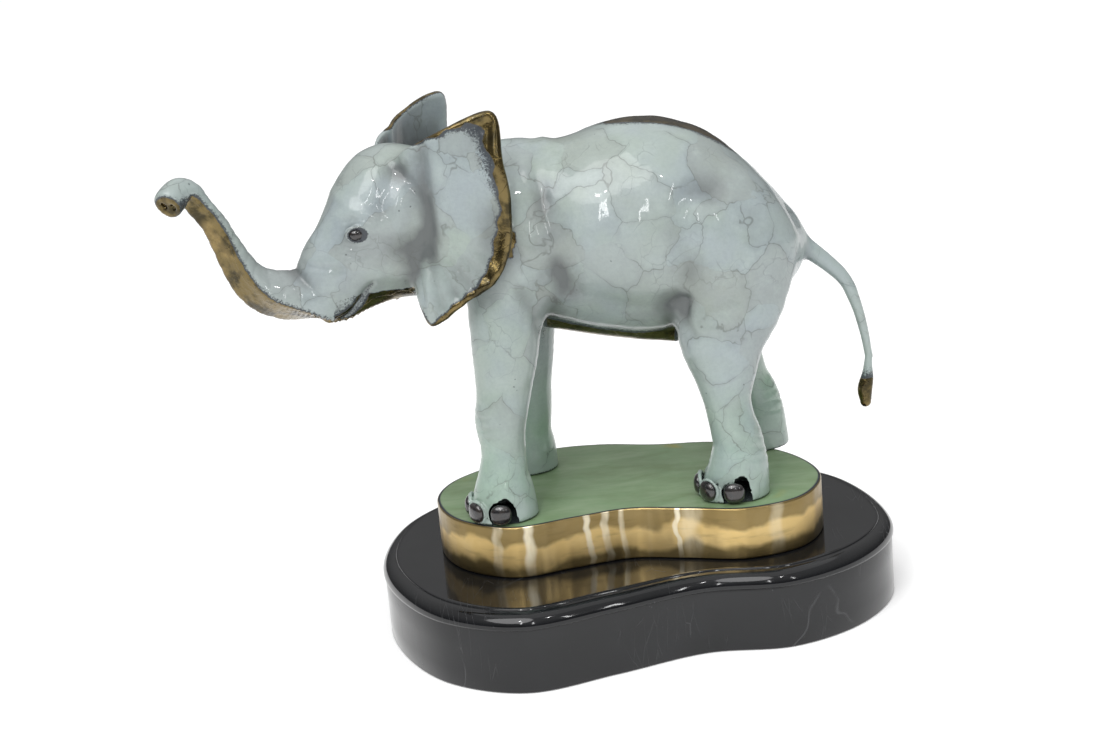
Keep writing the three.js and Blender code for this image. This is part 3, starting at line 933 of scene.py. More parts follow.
def patinated_bronze(colours):
    """Pale lacquered patina with wandering veins, and the polished bronze that shows through."""
    f = Finish("patinated_bronze")
    polish, fringe_and_shade = f.attribute("polish"), f.attribute("fringe_and_shade")
    green, hollow_shade, ridge = f.attribute("green"), f.attribute("hollow_shade"), f.attribute("ridge")

    # soft patches of blue, grey and mint
    wander = f.stray(70, 0.012, f.stray(24, 0.02))
    wander = f.stray(260, 0.0028, wander)
    patch = f.cells(LOBES, wander, output="Color")
    pick = f.node("ShaderNodeSeparateColor", None, {"Color": patch}, 0)
    pick2 = f.node("ShaderNodeSeparateColor", None, {"Color": patch}, 1)
    broad = f.noise(16, 3, 0.6)
    cloud = f.noise(55, 4, 0.62)
    grain = f.noise(420, 3, 0.7)
    skin = f.mix(broad.smooth(0.38, 0.62), tuple(colours.blue), tuple(colours.mint))
    skin = f.mix(pick.smooth(0.3, 0.9) * 0.55, skin, tuple(colours.grey))
    skin = f.mix(cloud.smooth(0.45, 0.75) * 0.5, skin, tuple(colours.pale))
    skin = f.mix(pick2.smooth(0.5, 1.0) * 0.35, skin, tuple(colours.blue))
    skin = f.mix(green * broad.smooth(0.1, 0.7), skin, tuple(colours.green))
    skin = f.mix(grain.smooth(0.35, 0.7) * 0.16, skin, tuple(colours.dusk))
    # painted shade: hollows are painted darker, high places a little lighter
    skin = f.mix((hollow_shade * (0.85 + 0.7 * cloud)).at_most(0.9), skin, tuple(colours.hollow_shade))
    skin = f.mix(ridge * 0.35, skin, tuple(colours.pale))
    # veins
    edge = f.cells(LOBES, wander, "DISTANCE_TO_EDGE")
    present = f.noise(34, 2).smooth(0.36, 0.56)
    vein = (1 - edge.smooth(0.0, 0.014)) * present
    halo = (1 - edge.smooth(0.0, 0.12)) * present
    fine_edge = f.cells(SMALL_LOBES, wander, "DISTANCE_TO_EDGE")
    fine = (1 - fine_edge.smooth(0.0, 0.03)) * f.noise(28, 2, at=f.place.moved((3, 1, 2))).smooth(0.52, 0.62)
    # the grey of the painted shade in the hollows also tints the patina's soft halo round its veins
    skin = f.mix(halo * 0.13, skin, tuple(colours.hollow_shade))
    skin = f.mix((vein * 0.46 + fine * 0.24).at_most(0.7), skin, tuple(colours.vein))
    # a few dark specks
    speck = 1 - f.cells(150, f.stray(90, 0.004)).smooth(0.05, 0.11)
    speck = speck * f.noise(60, 1).smooth(0.60, 0.66)
    skin = f.mix(speck * 0.6, skin, tuple(colours.fringe_and_shade))

    # polished metal with a ragged edge inside a speckled dark fringe; the same darkness paints shade round
    # the nails, soles, mouth, eyes and armpit
    ragged = f.noise(520, 4, 0.75)
    ragged_wide = f.noise(150, 3, 0.6)
    depth = polish + (ragged_wide - 0.5) * 2.2 + (ragged - 0.5) * 1.6
    gold = depth.smooth(-0.15, 0.35)
    spray = f.noise(900, 2, 0.8)
    dark = fringe_and_shade * 1.25 + (spray - 0.5) * 1.5 * fringe_and_shade.smooth(0.03, 0.4) + (ragged_wide - 0.5) * 0.5 * fringe_and_shade
    dark = dark.smooth(0.42, 0.95)
    tarnish = f.noise(75, 4, 0.65)
    rubbed = f.noise(38, 2, 0.5)
    metal = f.mix(tarnish.smooth(0.42, 0.62), tuple(colours.bronze), tuple(colours.bronze_dark))
    metal = f.mix(rubbed.smooth(0.55, 0.8) * 0.4, metal, tuple(colours.brass))
    skin = f.mix(dark * (0.86 + 0.1 * ragged), skin, tuple(colours.fringe_and_shade))
    surface = f.mix(gold, skin, metal)

    lacquer = f.noise(240, 3, 0.5)
    ripple = f.noise(95, 2, 0.5)
    height = lacquer * 0.35 + ripple * 0.9 - vein * 0.25 - fine * 0.12 + (cloud * 0.3)
    wear = f.noise(650, 3, 0.7) * gold
    normal = f.bump(height, 0.00075, 0.55, f.bump(wear, 0.00022, 0.6))
    rough_skin = 0.34 + 0.16 * grain + 0.15 * dark
    rough_gold = 0.13 + 0.16 * tarnish
    roughness = rough_skin * (1 - gold) + rough_gold * gold
    shader = f.shader(
        Base_Color=surface, Metallic=gold, Roughness=roughness, Normal=normal,
        Coat_Weight=0.55 * (1 - gold * 0.55), Coat_Roughness=0.05, Coat_IOR=1.5, Specular_IOR_Level=0.45)
    return f.finish(shader)


# Painted highlights: bright upright streaks that stand for lamps mirrored in the polished side: place along
# X, half width, strength
STREAKS = [(-85, 3.5, 0.55), (-66, 4.0, 0.9), (-30, 2.5, 0.8), (-19, 3.0, 0.95), (-9, 2.2, 0.7),
           (25, 2.2, 1.0), (33, 8.0, 0.35), (84, 5.0, 0.3)]


def glints(f, share):
    """Painted highlights: wavering upright streaks on the side of the ground, fading towards its lower edge.
    """
    apart = f.node("ShaderNodeSeparateXYZ", None, {"Vector": f.place}, "X") * 1000
    sway = (f.noise(1.0, 2, 0.5, at=f.place.scaled((12, 12, 48))) - 0.5) * 16
    apart = apart + sway
    total = f.noise(1.0, 2, 0.5, at=f.place.scaled((60, 60, 5))).smooth(0.66, 0.78) * 0.5
    for x, half_width, strength in STREAKS:
        away = ((apart - x) / half_width) ** 2
        total = total.at_least((1 - away.smooth(0.0, 1.0)) * strength)
    broken = f.noise(1.0, 3, 0.6, at=f.place.scaled((90, 90, 30))).smooth(0.25, 0.6, 0.35, 1.0)
    return total * broken * share.smooth(0.02, 0.4, 0.25, 1.0)


def polished_brass(colours):
    """Hand-polished brass: fine level brush lines, soft tarnish, a darker top band that is partly tarnish and
    partly painted reflection, a darker bottom band painted as the black marble mirrored in it, and painted
    bright upright highlights.
    """
    f = Finish("polished_bronze_side")
    level = f.place.scaled((18, 18, 1500))
    lines = f.noise(1.0, 4, 0.7, at=level)
    streaks = f.noise(1.0, 3, 0.6, at=f.place.scaled((45, 45, 260)))
    waves = f.noise(26, 2, 0.5)
    cloud = f.noise(42, 3, 0.6, at=f.stray(30, 0.02))
    height_z = f.node("ShaderNodeSeparateXYZ", None, {"Vector": f.place}, "Z")
    share = (height_z * 1000 - GROUND_BOTTOM) / (GROUND_TOP - GROUND_BOTTOM)
    # painted reflection: the darker band at the top is partly tarnish and partly painted reflection; the
    # darker band at the bottom stands for the black marble mirrored in the polish
    band = share + (waves - 0.5) * 0.75 + (cloud - 0.5) * 0.3
    upper = band.smooth(0.60, 0.72)
    lower = 1 - band.smooth(0.20, 0.36)
    metal = f.mix(cloud.smooth(0.3, 0.75) * 0.5, tuple(colours.brass), tuple(colours.brass_pale))
    metal = f.mix(upper * 0.62, metal, tuple(colours.bronze_dark))
    metal = f.mix(lower * 0.75, metal, tuple(colours.bronze_dark))
    metal = f.mix(streaks.smooth(0.5, 0.8) * 0.25, metal, tuple(colours.bronze_dark))
    # painted highlights: the streaks in the pale glint colour
    glint = glints(f, share)
    metal = f.mix(glint, metal, tuple(colours.glint))
    flutes = f.noise(1.0, 2, 0.5, at=f.place.scaled((40, 40, 6)))
    normal = f.bump(lines, 0.00006, 0.5, f.bump(waves, 0.004, 0.30, f.bump(flutes, 0.006, 0.4)))
    shader = f.shader(Base_Color=metal, Metallic=1.0, Roughness=0.26 + 0.12 * streaks, Normal=normal,
                      Anisotropic=0.85, Anisotropic_Rotation=0.25)
    return f.finish(shader)


def green_patina(colours):
    """The painted top of the ground: green washes with ochre spots and a dark line at the edge."""
    f = Finish("green_patina")
    brush = f.noise(1.0, 4, 0.62, at=f.stray(20, 0.02).scaled((24, 75, 75)))
    wash = f.noise(22, 3, 0.6)
    fine = f.noise(240, 4, 0.65, at=f.place.scaled((0.45, 1, 1)))
    top = f.mix(wash.smooth(0.35, 0.65), tuple(colours.moss), tuple(colours.fern))
    top = f.mix(brush.smooth(0.42, 0.7) * 0.7, top, tuple(colours.lichen))
    top = f.mix((1 - brush.smooth(0.3, 0.46)) * 0.45, top, tuple(colours.olive))
    spots = (1 - f.cells(26, f.stray(60, 0.008)).smooth(0.10, 0.32)) * f.noise(17, 1).smooth(0.50, 0.60)
    top = f.mix(spots * fine.smooth(0.25, 0.5) * 0.9, top, tuple(colours.ochre))
    top = f.mix(fine.smooth(0.4, 0.72) * 0.3, top, tuple(colours.lichen))
    rim = f.attribute("edge")
    top = f.mix(rim.smooth(0.35, 0.9), top, tuple(colours.fringe_and_shade))
    height = brush * 0.6 + fine * 0.3 + wash * 0.5
    shader = f.shader(Base_Color=top, Roughness=0.42 + 0.2 * fine, Normal=f.bump(height, 0.0006, 0.5),
                      Coat_Weight=0.4, Coat_Roughness=0.12)
    return f.finish(shader)


def black_marble(colours):
    """Polished black marble with hairline veins, light scratches and a few chips."""
    f = Finish("black_marble")
    wander = f.stray(14, 0.05, f.stray(60, 0.012))
    vein_edge = f.cells(7, wander, "DISTANCE_TO_EDGE")
    vein = (1 - vein_edge.smooth(0.0005, 0.006)) * f.noise(24, 3).smooth(0.50, 0.66)
    cloud = f.noise(18, 4, 0.6)
    speck = (1 - f.cells(330).smooth(0.03, 0.10)) * f.noise(90, 2).smooth(0.62, 0.72)
    dust = f.noise(1400, 2, 0.6)
    stone = f.mix(cloud.smooth(0.3, 0.8), tuple(colours.marble), tuple(colours.marble_grey))
    stone = f.mix((vein * 0.12 + speck * 0.5).at_most(0.7), stone, tuple(colours.marble_vein))
    scratch_at = f.stray(9, 0.03).scaled((160, 26, 26))
    scratch = f.cells(1.0, scratch_at, "DISTANCE_TO_EDGE")
    scratch = (1 - scratch.smooth(0.0, 0.012)) * f.noise(30, 1).smooth(0.56, 0.62)
    stone = f.mix(scratch * 0.10, stone, tuple(colours.marble_vein))
    rough = 0.07 + 0.10 * dust * cloud + 0.25 * scratch
    normal = f.bump(f.noise(40, 2), 0.0006, 0.12, f.bump(scratch, 0.00005, 0.4))
    shader = f.shader(Base_Color=stone, Roughness=rough, Normal=normal, Specular_IOR_Level=0.4,
                      Coat_Weight=0.2, Coat_Roughness=0.04)
    return f.finish(shader)


def dark_gloss(colours, name, tone):
    """Dark glossy finish of the nails and the eyes, with a breath of brown in it."""
    f = Finish(name)
    cloud = f.noise(300, 3, 0.6)
    base = f.mix(cloud.smooth(0.35, 0.7), tuple(tone), tuple(colours.nail_brown))
    normal = f.bump(f.noise(380, 2), 0.0003, 0.35)
    shader = f.shader(Base_Color=base, Roughness=0.22 + 0.12 * cloud, Normal=normal,
                      Coat_Weight=1.0, Coat_Roughness=0.03)
    return f.finish(shader)


# ---- sizes and colours that a user would change ----

def length(name, description, default, **limits):
    return FloatProperty(name=name, description=description, default=default, unit="LENGTH", **limits)


def tone(name, description, red, green, blue):
    return FloatVectorProperty(name=name, description=description, subtype="COLOR", size=4,
                               default=srgb(red, green, blue), min=0.0, max=1.0)


class ElephantSizes(PropertyGroup):
    cell: FloatProperty(name="Cell", description="Width of the cells that the skin is first drawn in, mm",
                        default=1.25, min=1.0, max=4.0)
    triangles: IntProperty(name="Triangles", description="Most triangles in the finished casting",
                           default=188000, min=20000, max=199000)
    relief: FloatProperty(name="Relief", description="Strength of the modelled folds and hollows",
                          default=1.0, min=0.0, max=2.0)
    nail_width: length("Nail width", "Width of a toenail", 0.0128, min=0.004, max=0.014)
    nail_height: length("Nail height", "Height of a toenail", 0.0124, min=0.004, max=0.014)
    nail_bulge: length("Nail bulge", "Thickness of a toenail", 0.0068, min=0.002, max=0.01)


class BaseSizes(PropertyGroup):
    ground_edge: length("Ground edge", "Radius of the ground's softened edges", 0.0014, min=0.0005, max=0.003)
    moulding_width: length("Moulding width", "Width of the plinth's moulding in plan", 0.008)
    moulding_drop: length("Moulding drop", "Height of the plinth's moulding", 0.010)
    moulding_proud: length("Moulding proud", "How far the moulding stands out over the side", 0.001)
    moulding_quirk: length("Moulding quirk", "Depth of the small step above the moulding", 0.001)
    rows: IntProperty(name="Outline points", description="Points round each outline", default=256,
                      min=64, max=512)


class Colours(PropertyGroup):
    blue: tone("Patina blue", "Cool patches of the patina", 149, 160, 164)
    mint: tone("Patina mint", "Fresh patches of the patina", 152, 165, 157)
    grey: tone("Patina grey", "Quiet patches of the patina", 141, 146, 141)
    pale: tone("Patina pale", "High places of the patina", 168, 180, 177)
    green: tone("Patina green", "Greener patina towards the feet", 148, 178, 156)
    dusk: tone("Patina dusk", "Fine grain in the patina", 112, 120, 117)
    # grey of the painted shade in the hollows; it also tints the soft halo round the veins
    hollow_shade: tone("Hollow grey", "Rubbed colour in the hollows", 78, 82, 83)
    vein: tone("Vein", "Wandering veins in the patina", 76, 79, 74)
    # dark of the fringe round the polish, of the painted shade round the nails, soles, mouth, eyes and
    # armpit, and of the specks and the ground's edge line
    fringe_and_shade: tone("Dark fringe", "Dark fringe between patina and polished metal", 24, 30, 40)
    bronze: tone("Bronze", "Polished bronze", 116, 101, 64)
    # dark bronze: tarnish on the polish; on the ground's side also the painted dark reflections in its bands
    bronze_dark: tone("Dark bronze", "Tarnish on the polished bronze", 62, 55, 34)
    brass: tone("Brass", "Polished side of the ground", 214, 184, 122)
    brass_pale: tone("Pale brass", "Brightest polish of the ground", 232, 206, 150)
    moss: tone("Moss", "Middle green of the ground's top", 118, 142, 103)
    fern: tone("Fern", "Fresher green of the ground's top", 122, 151, 110)
    lichen: tone("Lichen", "Pale green of the ground's top", 143, 163, 130)
    olive: tone("Olive", "Dark green of the ground's top", 104, 123, 76)
    ochre: tone("Ochre", "Spots on the ground's top", 158, 148, 56)
    marble: tone("Marble", "Black of the plinth", 15, 16, 18)
    marble_grey: tone("Marble grey", "Paler clouds in the plinth", 24, 25, 28)
    marble_vein: tone("Marble vein", "Hairline veins and chips", 150, 152, 155)
    nail: tone("Nail", "Toenails", 14, 14, 18)
    nail_brown: tone("Nail brown", "Warm tint in nails and eyes", 34, 26, 22)
    eye: tone("Eye", "Eyes", 6, 6, 8)
    # painted highlight: colour of the bright upright streaks on the ground's side
    glint: tone("Brass glint", "Bright streaks in the polished side", 252, 242, 214)
    floor: tone("Floor", "Pale floor of the stage", 250, 250, 250)


# ---- pieces ----

def new_object(name, mesh):
    piece = bpy.data.objects.new(name, mesh)
    bpy.context.scene.collection.objects.link(piece)
    return piece


def baked_copy(piece, name):
    """The piece with its modifiers applied, as a new plain object in place of the old one."""
    graph = bpy.context.evaluated_depsgraph_get()
    mesh = bpy.data.meshes.new_from_object(piece.evaluated_get(graph), preserve_all_data_layers=True,
                                           depsgraph=graph)
    old = piece.data
    bpy.data.objects.remove(piece)
    if isinstance(old, bpy.types.Mesh):
        bpy.data.meshes.remove(old)
    mesh.name = name
    return new_object(name, mesh)


def tidy_mesh(mesh):
    """Merges doubles, turns every face outwards and shades the mesh smooth."""
    bm = bmesh.new()
    bm.from_mesh(mesh)
    bmesh.ops.remove_doubles(bm, verts=bm.verts, dist=2e-6)
    bmesh.ops.recalc_face_normals(bm, faces=bm.faces)
    if bm.calc_volume(signed=True) < 0:
        bmesh.ops.reverse_faces(bm, faces=bm.faces)
    bm.to_mesh(mesh)
    bm.free()
    mesh.shade_smooth()


def split_near(mesh, spots):
    """Splits every face whose middle is within reach of a spot, given as (place, radius)."""
    bm = bmesh.new()
    bm.from_mesh(mesh)
    middles = np.array([f.calc_center_median() for f in bm.faces]) / MM
    chosen = np.zeros(len(middles), bool)
    for place, radius in spots:
        chosen |= np.linalg.norm(middles - place, axis=1) < radius
    edges = set()
    bm.faces.ensure_lookup_table()
    for i in np.flatnonzero(chosen):
        edges.update(bm.faces[i].edges)
    bmesh.ops.subdivide_edges(bm, edges=list(edges), cuts=1, use_grid_fill=True)
    bm.to_mesh(mesh)
    bm.free()


def place_piece(piece, node, slot, *materials):
    """Gives a finished piece its materials, the body it rides and the node it replaces; its slot is not used.
    """
    if not piece.data.polygons:
        raise RuntimeError(piece.name + " has no faces")
    for material in materials:
        piece.data.materials.append(material)
    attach(piece, BODY)
    if node:
        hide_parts(node)


# Rounds of smoothing: small dips and broad hollows are measured against them, and their shade is softened
FINE_ROUNDS, BROAD_ROUNDS, SHADE_ROUNDS = 12, 90, 30


class SCULPTURE_OT_elephant(Operator):
    """Makes the elephant's casting with its folds, polished edges and patina"""
    bl_idname = "sculpture.elephant"
    bl_label = "Elephant casting"

    def execute(self, context):
        sizes, colours = context.scene.sculpture_elephant, context.scene.sculpture_colours
        cell = sizes.cell * 1.0
        low, high = (np.array(corner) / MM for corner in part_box("elephant"))
        vertices, quads = skin_of(elephant_form, low - 6, high + 6, cell)
        mesh = bpy.data.meshes.new("elephant_casting")
        mesh.from_pydata(vertices * MM, [], quads)
        eyes = [(from_head(EYE * [1, side, 1])[0], 10) for side in (NEAR, FAR_SIDE)]
        split_near(mesh, eyes)
        split_near(mesh, [(place, radius * 0.8) for place, radius in eyes])
        places, _, _ = mesh_arrays(mesh)
        write_places(mesh, settle(elephant_form, places))
        places, _, normals = mesh_arrays(mesh)
        write_places(mesh, places + normals * (relief(places, normals) * sizes.relief)[:, None])
        piece = new_object("elephant_casting", mesh)
        faces = sum(len(p.vertices) - 2 for p in mesh.polygons)
        if faces > sizes.triangles:
            thin = piece.modifiers.new("thin", "DECIMATE")
            thin.ratio = sizes.triangles / faces
        piece = baked_copy(piece, "elephant_casting")
        mesh = piece.data
        mesh.shade_smooth()
        places, edges, normals = mesh_arrays(mesh)
        for name, values in finishes(places, normals).items():
            set_attribute(mesh, name, values)
        # painted shade: how deep each vertex sits in a hollow, for the patina's painted darkening there, and
        # how far it stands out, for its paler high places
        near_rise = ((relaxed(places, edges, FINE_ROUNDS) - places) * normals).sum(1)
        broad_rise = ((relaxed(places, edges, BROAD_ROUNDS) - places) * normals).sum(1)
        hollow_shade = ramp((broad_rise - 0.07) / 0.7) * 0.95 + ramp(near_rise / 0.3) * 0.2
        hollow_shade = relaxed(np.repeat(hollow_shade[:, None], 3, 1), edges, SHADE_ROUNDS)[:, 0]
        set_attribute(mesh, "hollow_shade", hollow_shade)
        set_attribute(mesh, "ridge", ramp((-broad_rise - 0.3) / 1.6))
        place_piece(piece, "elephant", "patinated_bronze", patinated_bronze(colours))
        return {"FINISHED"}


class SCULPTURE_OT_eyes(Operator):
    """Makes the two dark glossy eyes"""
    bl_idname = "sculpture.eyes"
    bl_label = "Eyes"

    def execute(self, context):
        bm = bmesh.new()
        for side in (NEAR, FAR_SIDE):
            made = bmesh.ops.create_uvsphere(bm, u_segments=40, v_segments=24, radius=1)
            for vertex in made["verts"]:
                v = np.array(vertex.co)
                cornea = 1 + 0.10 * bell((1 - v[1] * side) / 0.25)
                h = (EYE - [0, EYE_SINK, 0]) * [1, side, 1] + v * cornea * EYE_RADII
                vertex.co = from_head(h)[0] * MM
        mesh = bpy.data.meshes.new("eyes")
        bm.to_mesh(mesh)
        bm.free()
        tidy_mesh(mesh)
        piece = new_object("eyes", mesh)
        colours = context.scene.sculpture_colours
        place_piece(piece, None, "patinated_bronze", dark_gloss(colours, "eye_gloss", colours.eye))
        return {"FINISHED"}


# ---- Geometry Nodes ----

class Recipe:
    """A Geometry Nodes tree with named inputs, and the modifier that runs it."""

    def __init__(self, name, inputs):
        self.tree = bpy.data.node_groups.new(name, "GeometryNodeTree")
        self.sockets = {}
        interface = self.tree.interface
        interface.new_socket(name="Geometry", in_out="INPUT", socket_type="NodeSocketGeometry")
        for label, kind in inputs.items():
            self.sockets[label] = interface.new_socket(name=label, in_out="INPUT",
                                                       socket_type="NodeSocket" + kind)
        interface.new_socket(name="Geometry", in_out="OUTPUT", socket_type="NodeSocketGeometry")
        self.entry = Wire(self.tree, self.tree.nodes.new("NodeGroupInput").outputs[0])
        self.given = {s.name: Wire(self.tree, s) for s in self.tree.nodes[0].outputs if s.name}

    def node(self, kind, settings=None, inputs=None, output=0):
        return self.entry.node(kind, settings, inputs, output)

    def close(self, result):
        done = self.node("GeometryNodeRealizeInstances", None, {"Geometry": result})
        out = self.tree.nodes.new("NodeGroupOutput")
        self.tree.links.new(done.socket, out.inputs[0])
        return done

    def run(self, name, mesh, values):
        """Runs the tree on a host mesh and gives back the result as a plain object."""
        host = new_object(name + "_host", mesh)
        modifier = host.modifiers.new(name, "NODES")
        modifier.node_group = self.tree
        for label, value in values.items():
            modifier[self.sockets[label].identifier] = value
        return baked_copy(host, name)


NAIL_SQUARENESS = 0.82  # 1 is an oval, less is squarer


def toenail_recipe():
    """Toenails: a domed nail on every point, turned to face the way the point says."""
    r = Recipe("toenails", {"Width": "Float", "Height": "Float", "Bulge": "Float", "Material": "Material"})
    ball = r.node("GeometryNodeMeshUVSphere", None, {"Segments": 28, "Rings": 18, "Radius": 0.5})
    place = r.node("GeometryNodeInputPosition")
    parts = [r.node("ShaderNodeSeparateXYZ", None, {0: place}, axis) for axis in "XYZ"]
    # squarer than an oval: the width and height are held on towards the corners
    full = []
    for part in parts[1:]:
        sign = r.node("ShaderNodeMath", {"operation": "SIGN"}, {0: part})
        size = r.node("ShaderNodeMath", {"operation": "ABSOLUTE"}, {0: part})
        full.append(sign * (size * 2) ** NAIL_SQUARENESS * 0.5)
    shaped = r.node("ShaderNodeCombineXYZ", None, {
        "X": parts[0] * r.given["Bulge"], "Y": full[0] * r.given["Width"], "Z": full[1] * r.given["Height"]})
    nail = r.node("GeometryNodeSetPosition", None, {"Geometry": ball, "Position": shaped})
    facing = r.node("GeometryNodeInputNamedAttribute", {"data_type": "FLOAT_VECTOR"}, {"Name": "facing"})
    turn = r.node("FunctionNodeAlignRotationToVector", {"axis": "X", "pivot_axis": "Z"}, {"Vector": facing})
    nails = r.node("GeometryNodeInstanceOnPoints", None, {
        "Points": r.given["Geometry"], "Instance": nail, "Rotation": turn})
    solid = r.node("GeometryNodeRealizeInstances", None, {"Geometry": nails})
    painted = r.node("GeometryNodeSetMaterial", None, {"Geometry": solid, "Material": r.given["Material"]})
    r.close(painted)
    return r


class SCULPTURE_OT_toenails(Operator):
    """Sets a glossy dark toenail in each collar of skin"""
    bl_idname = "sculpture.toenails"
    bl_label = "Toenails"

    def execute(self, context):
        sizes, colours = context.scene.sculpture_elephant, context.scene.sculpture_colours
        host = bpy.data.meshes.new("toenail_points")
        places = nail_places()
        host.from_pydata([place * MM for place, _ in places], [], [])
        layer = host.attributes.new("facing", "FLOAT_VECTOR", "POINT")
        layer.data.foreach_set("vector", np.concatenate([out + [0, 0, 0.18] for _, out in places]))
        material = dark_gloss(colours, "nail_gloss", colours.nail)
        piece = toenail_recipe().run("toenails", host, {
            "Width": sizes.nail_width, "Height": sizes.nail_height, "Bulge": sizes.nail_bulge,
            "Material": material})
        tidy_mesh(piece.data)
        piece.data.materials.clear()
        place_piece(piece, None, "patinated_bronze", material)
        return {"FINISHED"}


def base_recipe():
    """A slab: a profile swept round an outline and closed flat above and below."""
    r = Recipe("moulded_slab", {
        "Outline": "Object", "Profile": "Object", "Top inset": "Float", "Top": "Float",
        "Bottom inset": "Float", "Bottom": "Float", "Side": "Material", "Face": "Material"})
    outline = r.node("GeometryNodeObjectInfo", None, {"Object": r.given["Outline"]}, "Geometry")
    profile = r.node("GeometryNodeObjectInfo", None, {"Object": r.given["Profile"]}, "Geometry")
    outline = r.node("GeometryNodeSetCurveNormal", {"mode": "Z_UP"}, {"Curve": outline})
    wall = r.node("GeometryNodeCurveToMesh", None, {"Curve": outline, "Profile Curve": profile})
    out = r.node("GeometryNodeInputNormal")
    joined = r.node("GeometryNodeJoinGeometry")
    r.tree.links.new(wall.socket, joined.socket.node.inputs[0])
    for end in ("Top", "Bottom"):
        inward = r.node("ShaderNodeVectorMath", {"operation": "SCALE"}, {
            0: out, "Scale": r.given[end + " inset"] * -1})
        level = r.node("ShaderNodeCombineXYZ", None, {"Z": r.given[end]})
        ring = r.node("GeometryNodeSetPosition", None, {"Geometry": outline, "Offset": inward})
        flat = r.node("GeometryNodeFillCurve", None, {"Curve": ring})
        lid = r.node("GeometryNodeSetPosition", None, {"Geometry": flat, "Offset": level})
        r.tree.links.new(lid.socket, joined.socket.node.inputs[0])
    solid = r.node("GeometryNodeMergeByDistance", None, {"Geometry": joined, "Distance": 5e-6})
    side = r.node("GeometryNodeSetMaterial", None, {"Geometry": solid, "Material": r.given["Side"]})
    height = r.node("ShaderNodeSeparateXYZ", None, {0: r.node("GeometryNodeInputPosition")}, "Z")
    above = r.node("FunctionNodeCompare", {"data_type": "FLOAT", "operation": "GREATER_THAN"}, {
        0: height, 1: r.given["Top"] - 0.00012})
    r.close(r.node("GeometryNodeSetMaterial", None, {
        "Geometry": side, "Selection": above, "Material": r.given["Face"]}))
    return r


def helper_curve(name, points, cyclic):
    curve = bpy.data.curves.new(name, "CURVE")
    curve.dimensions = "3D"
    line = curve.splines.new("POLY")
    line.points.add(len(points) - 1)
    line.points.foreach_set("co", np.column_stack([points, np.ones(len(points))]).astype(np.float32).ravel())
    line.use_cyclic_u = cyclic
    return new_object(name, curve)


def even_outline(points, count):
    """A closed smooth outline through points in plan, as evenly spaced points in metres."""
    p = np.asarray(points, float)
    rows = []
    for i in range(len(p)):
        four = [p[(i + k) % len(p)] for k in (-1, 0, 1, 2)]
        rows.append(centripetal_span(four, np.linspace(0, 1, 40, endpoint=False)))
    dense = np.vstack(rows + [rows[0][:1]])
    run = np.concatenate([[0], np.cumsum(np.linalg.norm(np.diff(dense, axis=0), axis=1))])
    wanted = np.linspace(0, run[-1], count, endpoint=False)
    return np.column_stack([np.interp(wanted, run, dense[:, k]) for k in (0, 1)]) * MM


def centripetal_span(four, t):
    """The part of a centripetal spline between the middle two of four points."""
    a, b, c, d = four
    gap = [math.sqrt(np.linalg.norm(q - p)) for p, q in ((a, b), (b, c), (c, d))]
    start = ((b - a) / gap[0] - (c - a) / (gap[0] + gap[1]) + (c - b) / gap[1]) * gap[1]
    end = ((c - b) / gap[1] - (d - b) / (gap[1] + gap[2]) + (d - c) / gap[2]) * gap[1]
    t = t[:, None]
    return (b + start * t + (3 * (c - b) - 2 * start - end) * t ** 2 + (2 * (b - c) + start + end) * t ** 3)


def arc(centre, radii, first, last, steps):
    """Points (inset, height) on part of an ellipse, between two angles in degrees."""
    angles = np.radians(np.linspace(first, last, steps + 1))
    return [(centre[0] - radii[0] * math.cos(a), centre[1] + radii[1] * math.sin(a)) for a in angles]


def make_slab(name, outline, profile, materials, rows):
    """Sweeps a profile of (inset, height) points, in metres, round an outline."""
    level = np.column_stack([even_outline(outline, rows), np.zeros(rows)])
    ring = helper_curve(name + "_outline", level, True)
    section = np.array([(-inset, -height, 0) for inset, height in profile])
    cut = helper_curve(name + "_profile", section, False)
    (bottom_inset, bottom), (top_inset, top) = profile[0], profile[-1]
    piece = base_recipe().run(name, bpy.data.meshes.new(name + "_host"), {
        "Outline": ring, "Profile": cut, "Top inset": top_inset, "Top": top,
        "Bottom inset": bottom_inset, "Bottom": bottom, "Side": materials[0], "Face": materials[-1]})
    for helper in (ring, cut):
        bpy.data.objects.remove(helper)
    tidy_mesh(piece.data)
    return piece


GROUND_OUTLINE = [
    (-123, -8), (-110, -50), (-76, -75), (-38, -67), (-4, -60), (30, -69), (66, -79), (102, -66),
    (120, -26), (105, 24), (65, 58), (22, 66), (-14, 77), (-50, 76), (-95, 46), (-116, 22),
]
PLINTH_OUTLINE = [
    (-161, -5), (-150, -60), (-120, -109), (-74, -132), (-20, -117), (35, -99), (88, -101), (135, -75),
    (163, -28), (158, 38), (135, 82), (85, 106), (20, 108), (-45, 119), (-105, 103), (-147, 58),
]


class SCULPTURE_OT_ground(Operator):
    """Makes the bronze ground with its polished side and green top"""
    bl_idname = "sculpture.ground"
    bl_label = "Bronze ground"

    def execute(self, context):
        sizes, colours = context.scene.sculpture_base, context.scene.sculpture_colours
        bottom, top, soft = GROUND_BOTTOM * MM, GROUND_TOP * MM, sizes.ground_edge
        profile = arc((soft, bottom + soft), (soft, soft), -90, 0, 5)
        profile += arc((soft, top - soft), (soft, soft), 0, 90, 6)
        profile += [(soft + 0.0008, top), (soft + 0.003, top)]
        materials = [polished_brass(colours), green_patina(colours)]
        piece = make_slab("bronze_ground", GROUND_OUTLINE, profile, materials, sizes.rows)
        places, _, _ = mesh_arrays(piece.data)
        outline = even_outline(GROUND_OUTLINE, 200) / MM
        inset = -outline_distance(places[:, 0], places[:, 1], outline)
        set_attribute(piece.data, "edge", ramp(1 - (inset - soft / MM) / 1.6))
        place_piece(piece, "bronze_ground_slab", "polished_bronze")
        return {"FINISHED"}


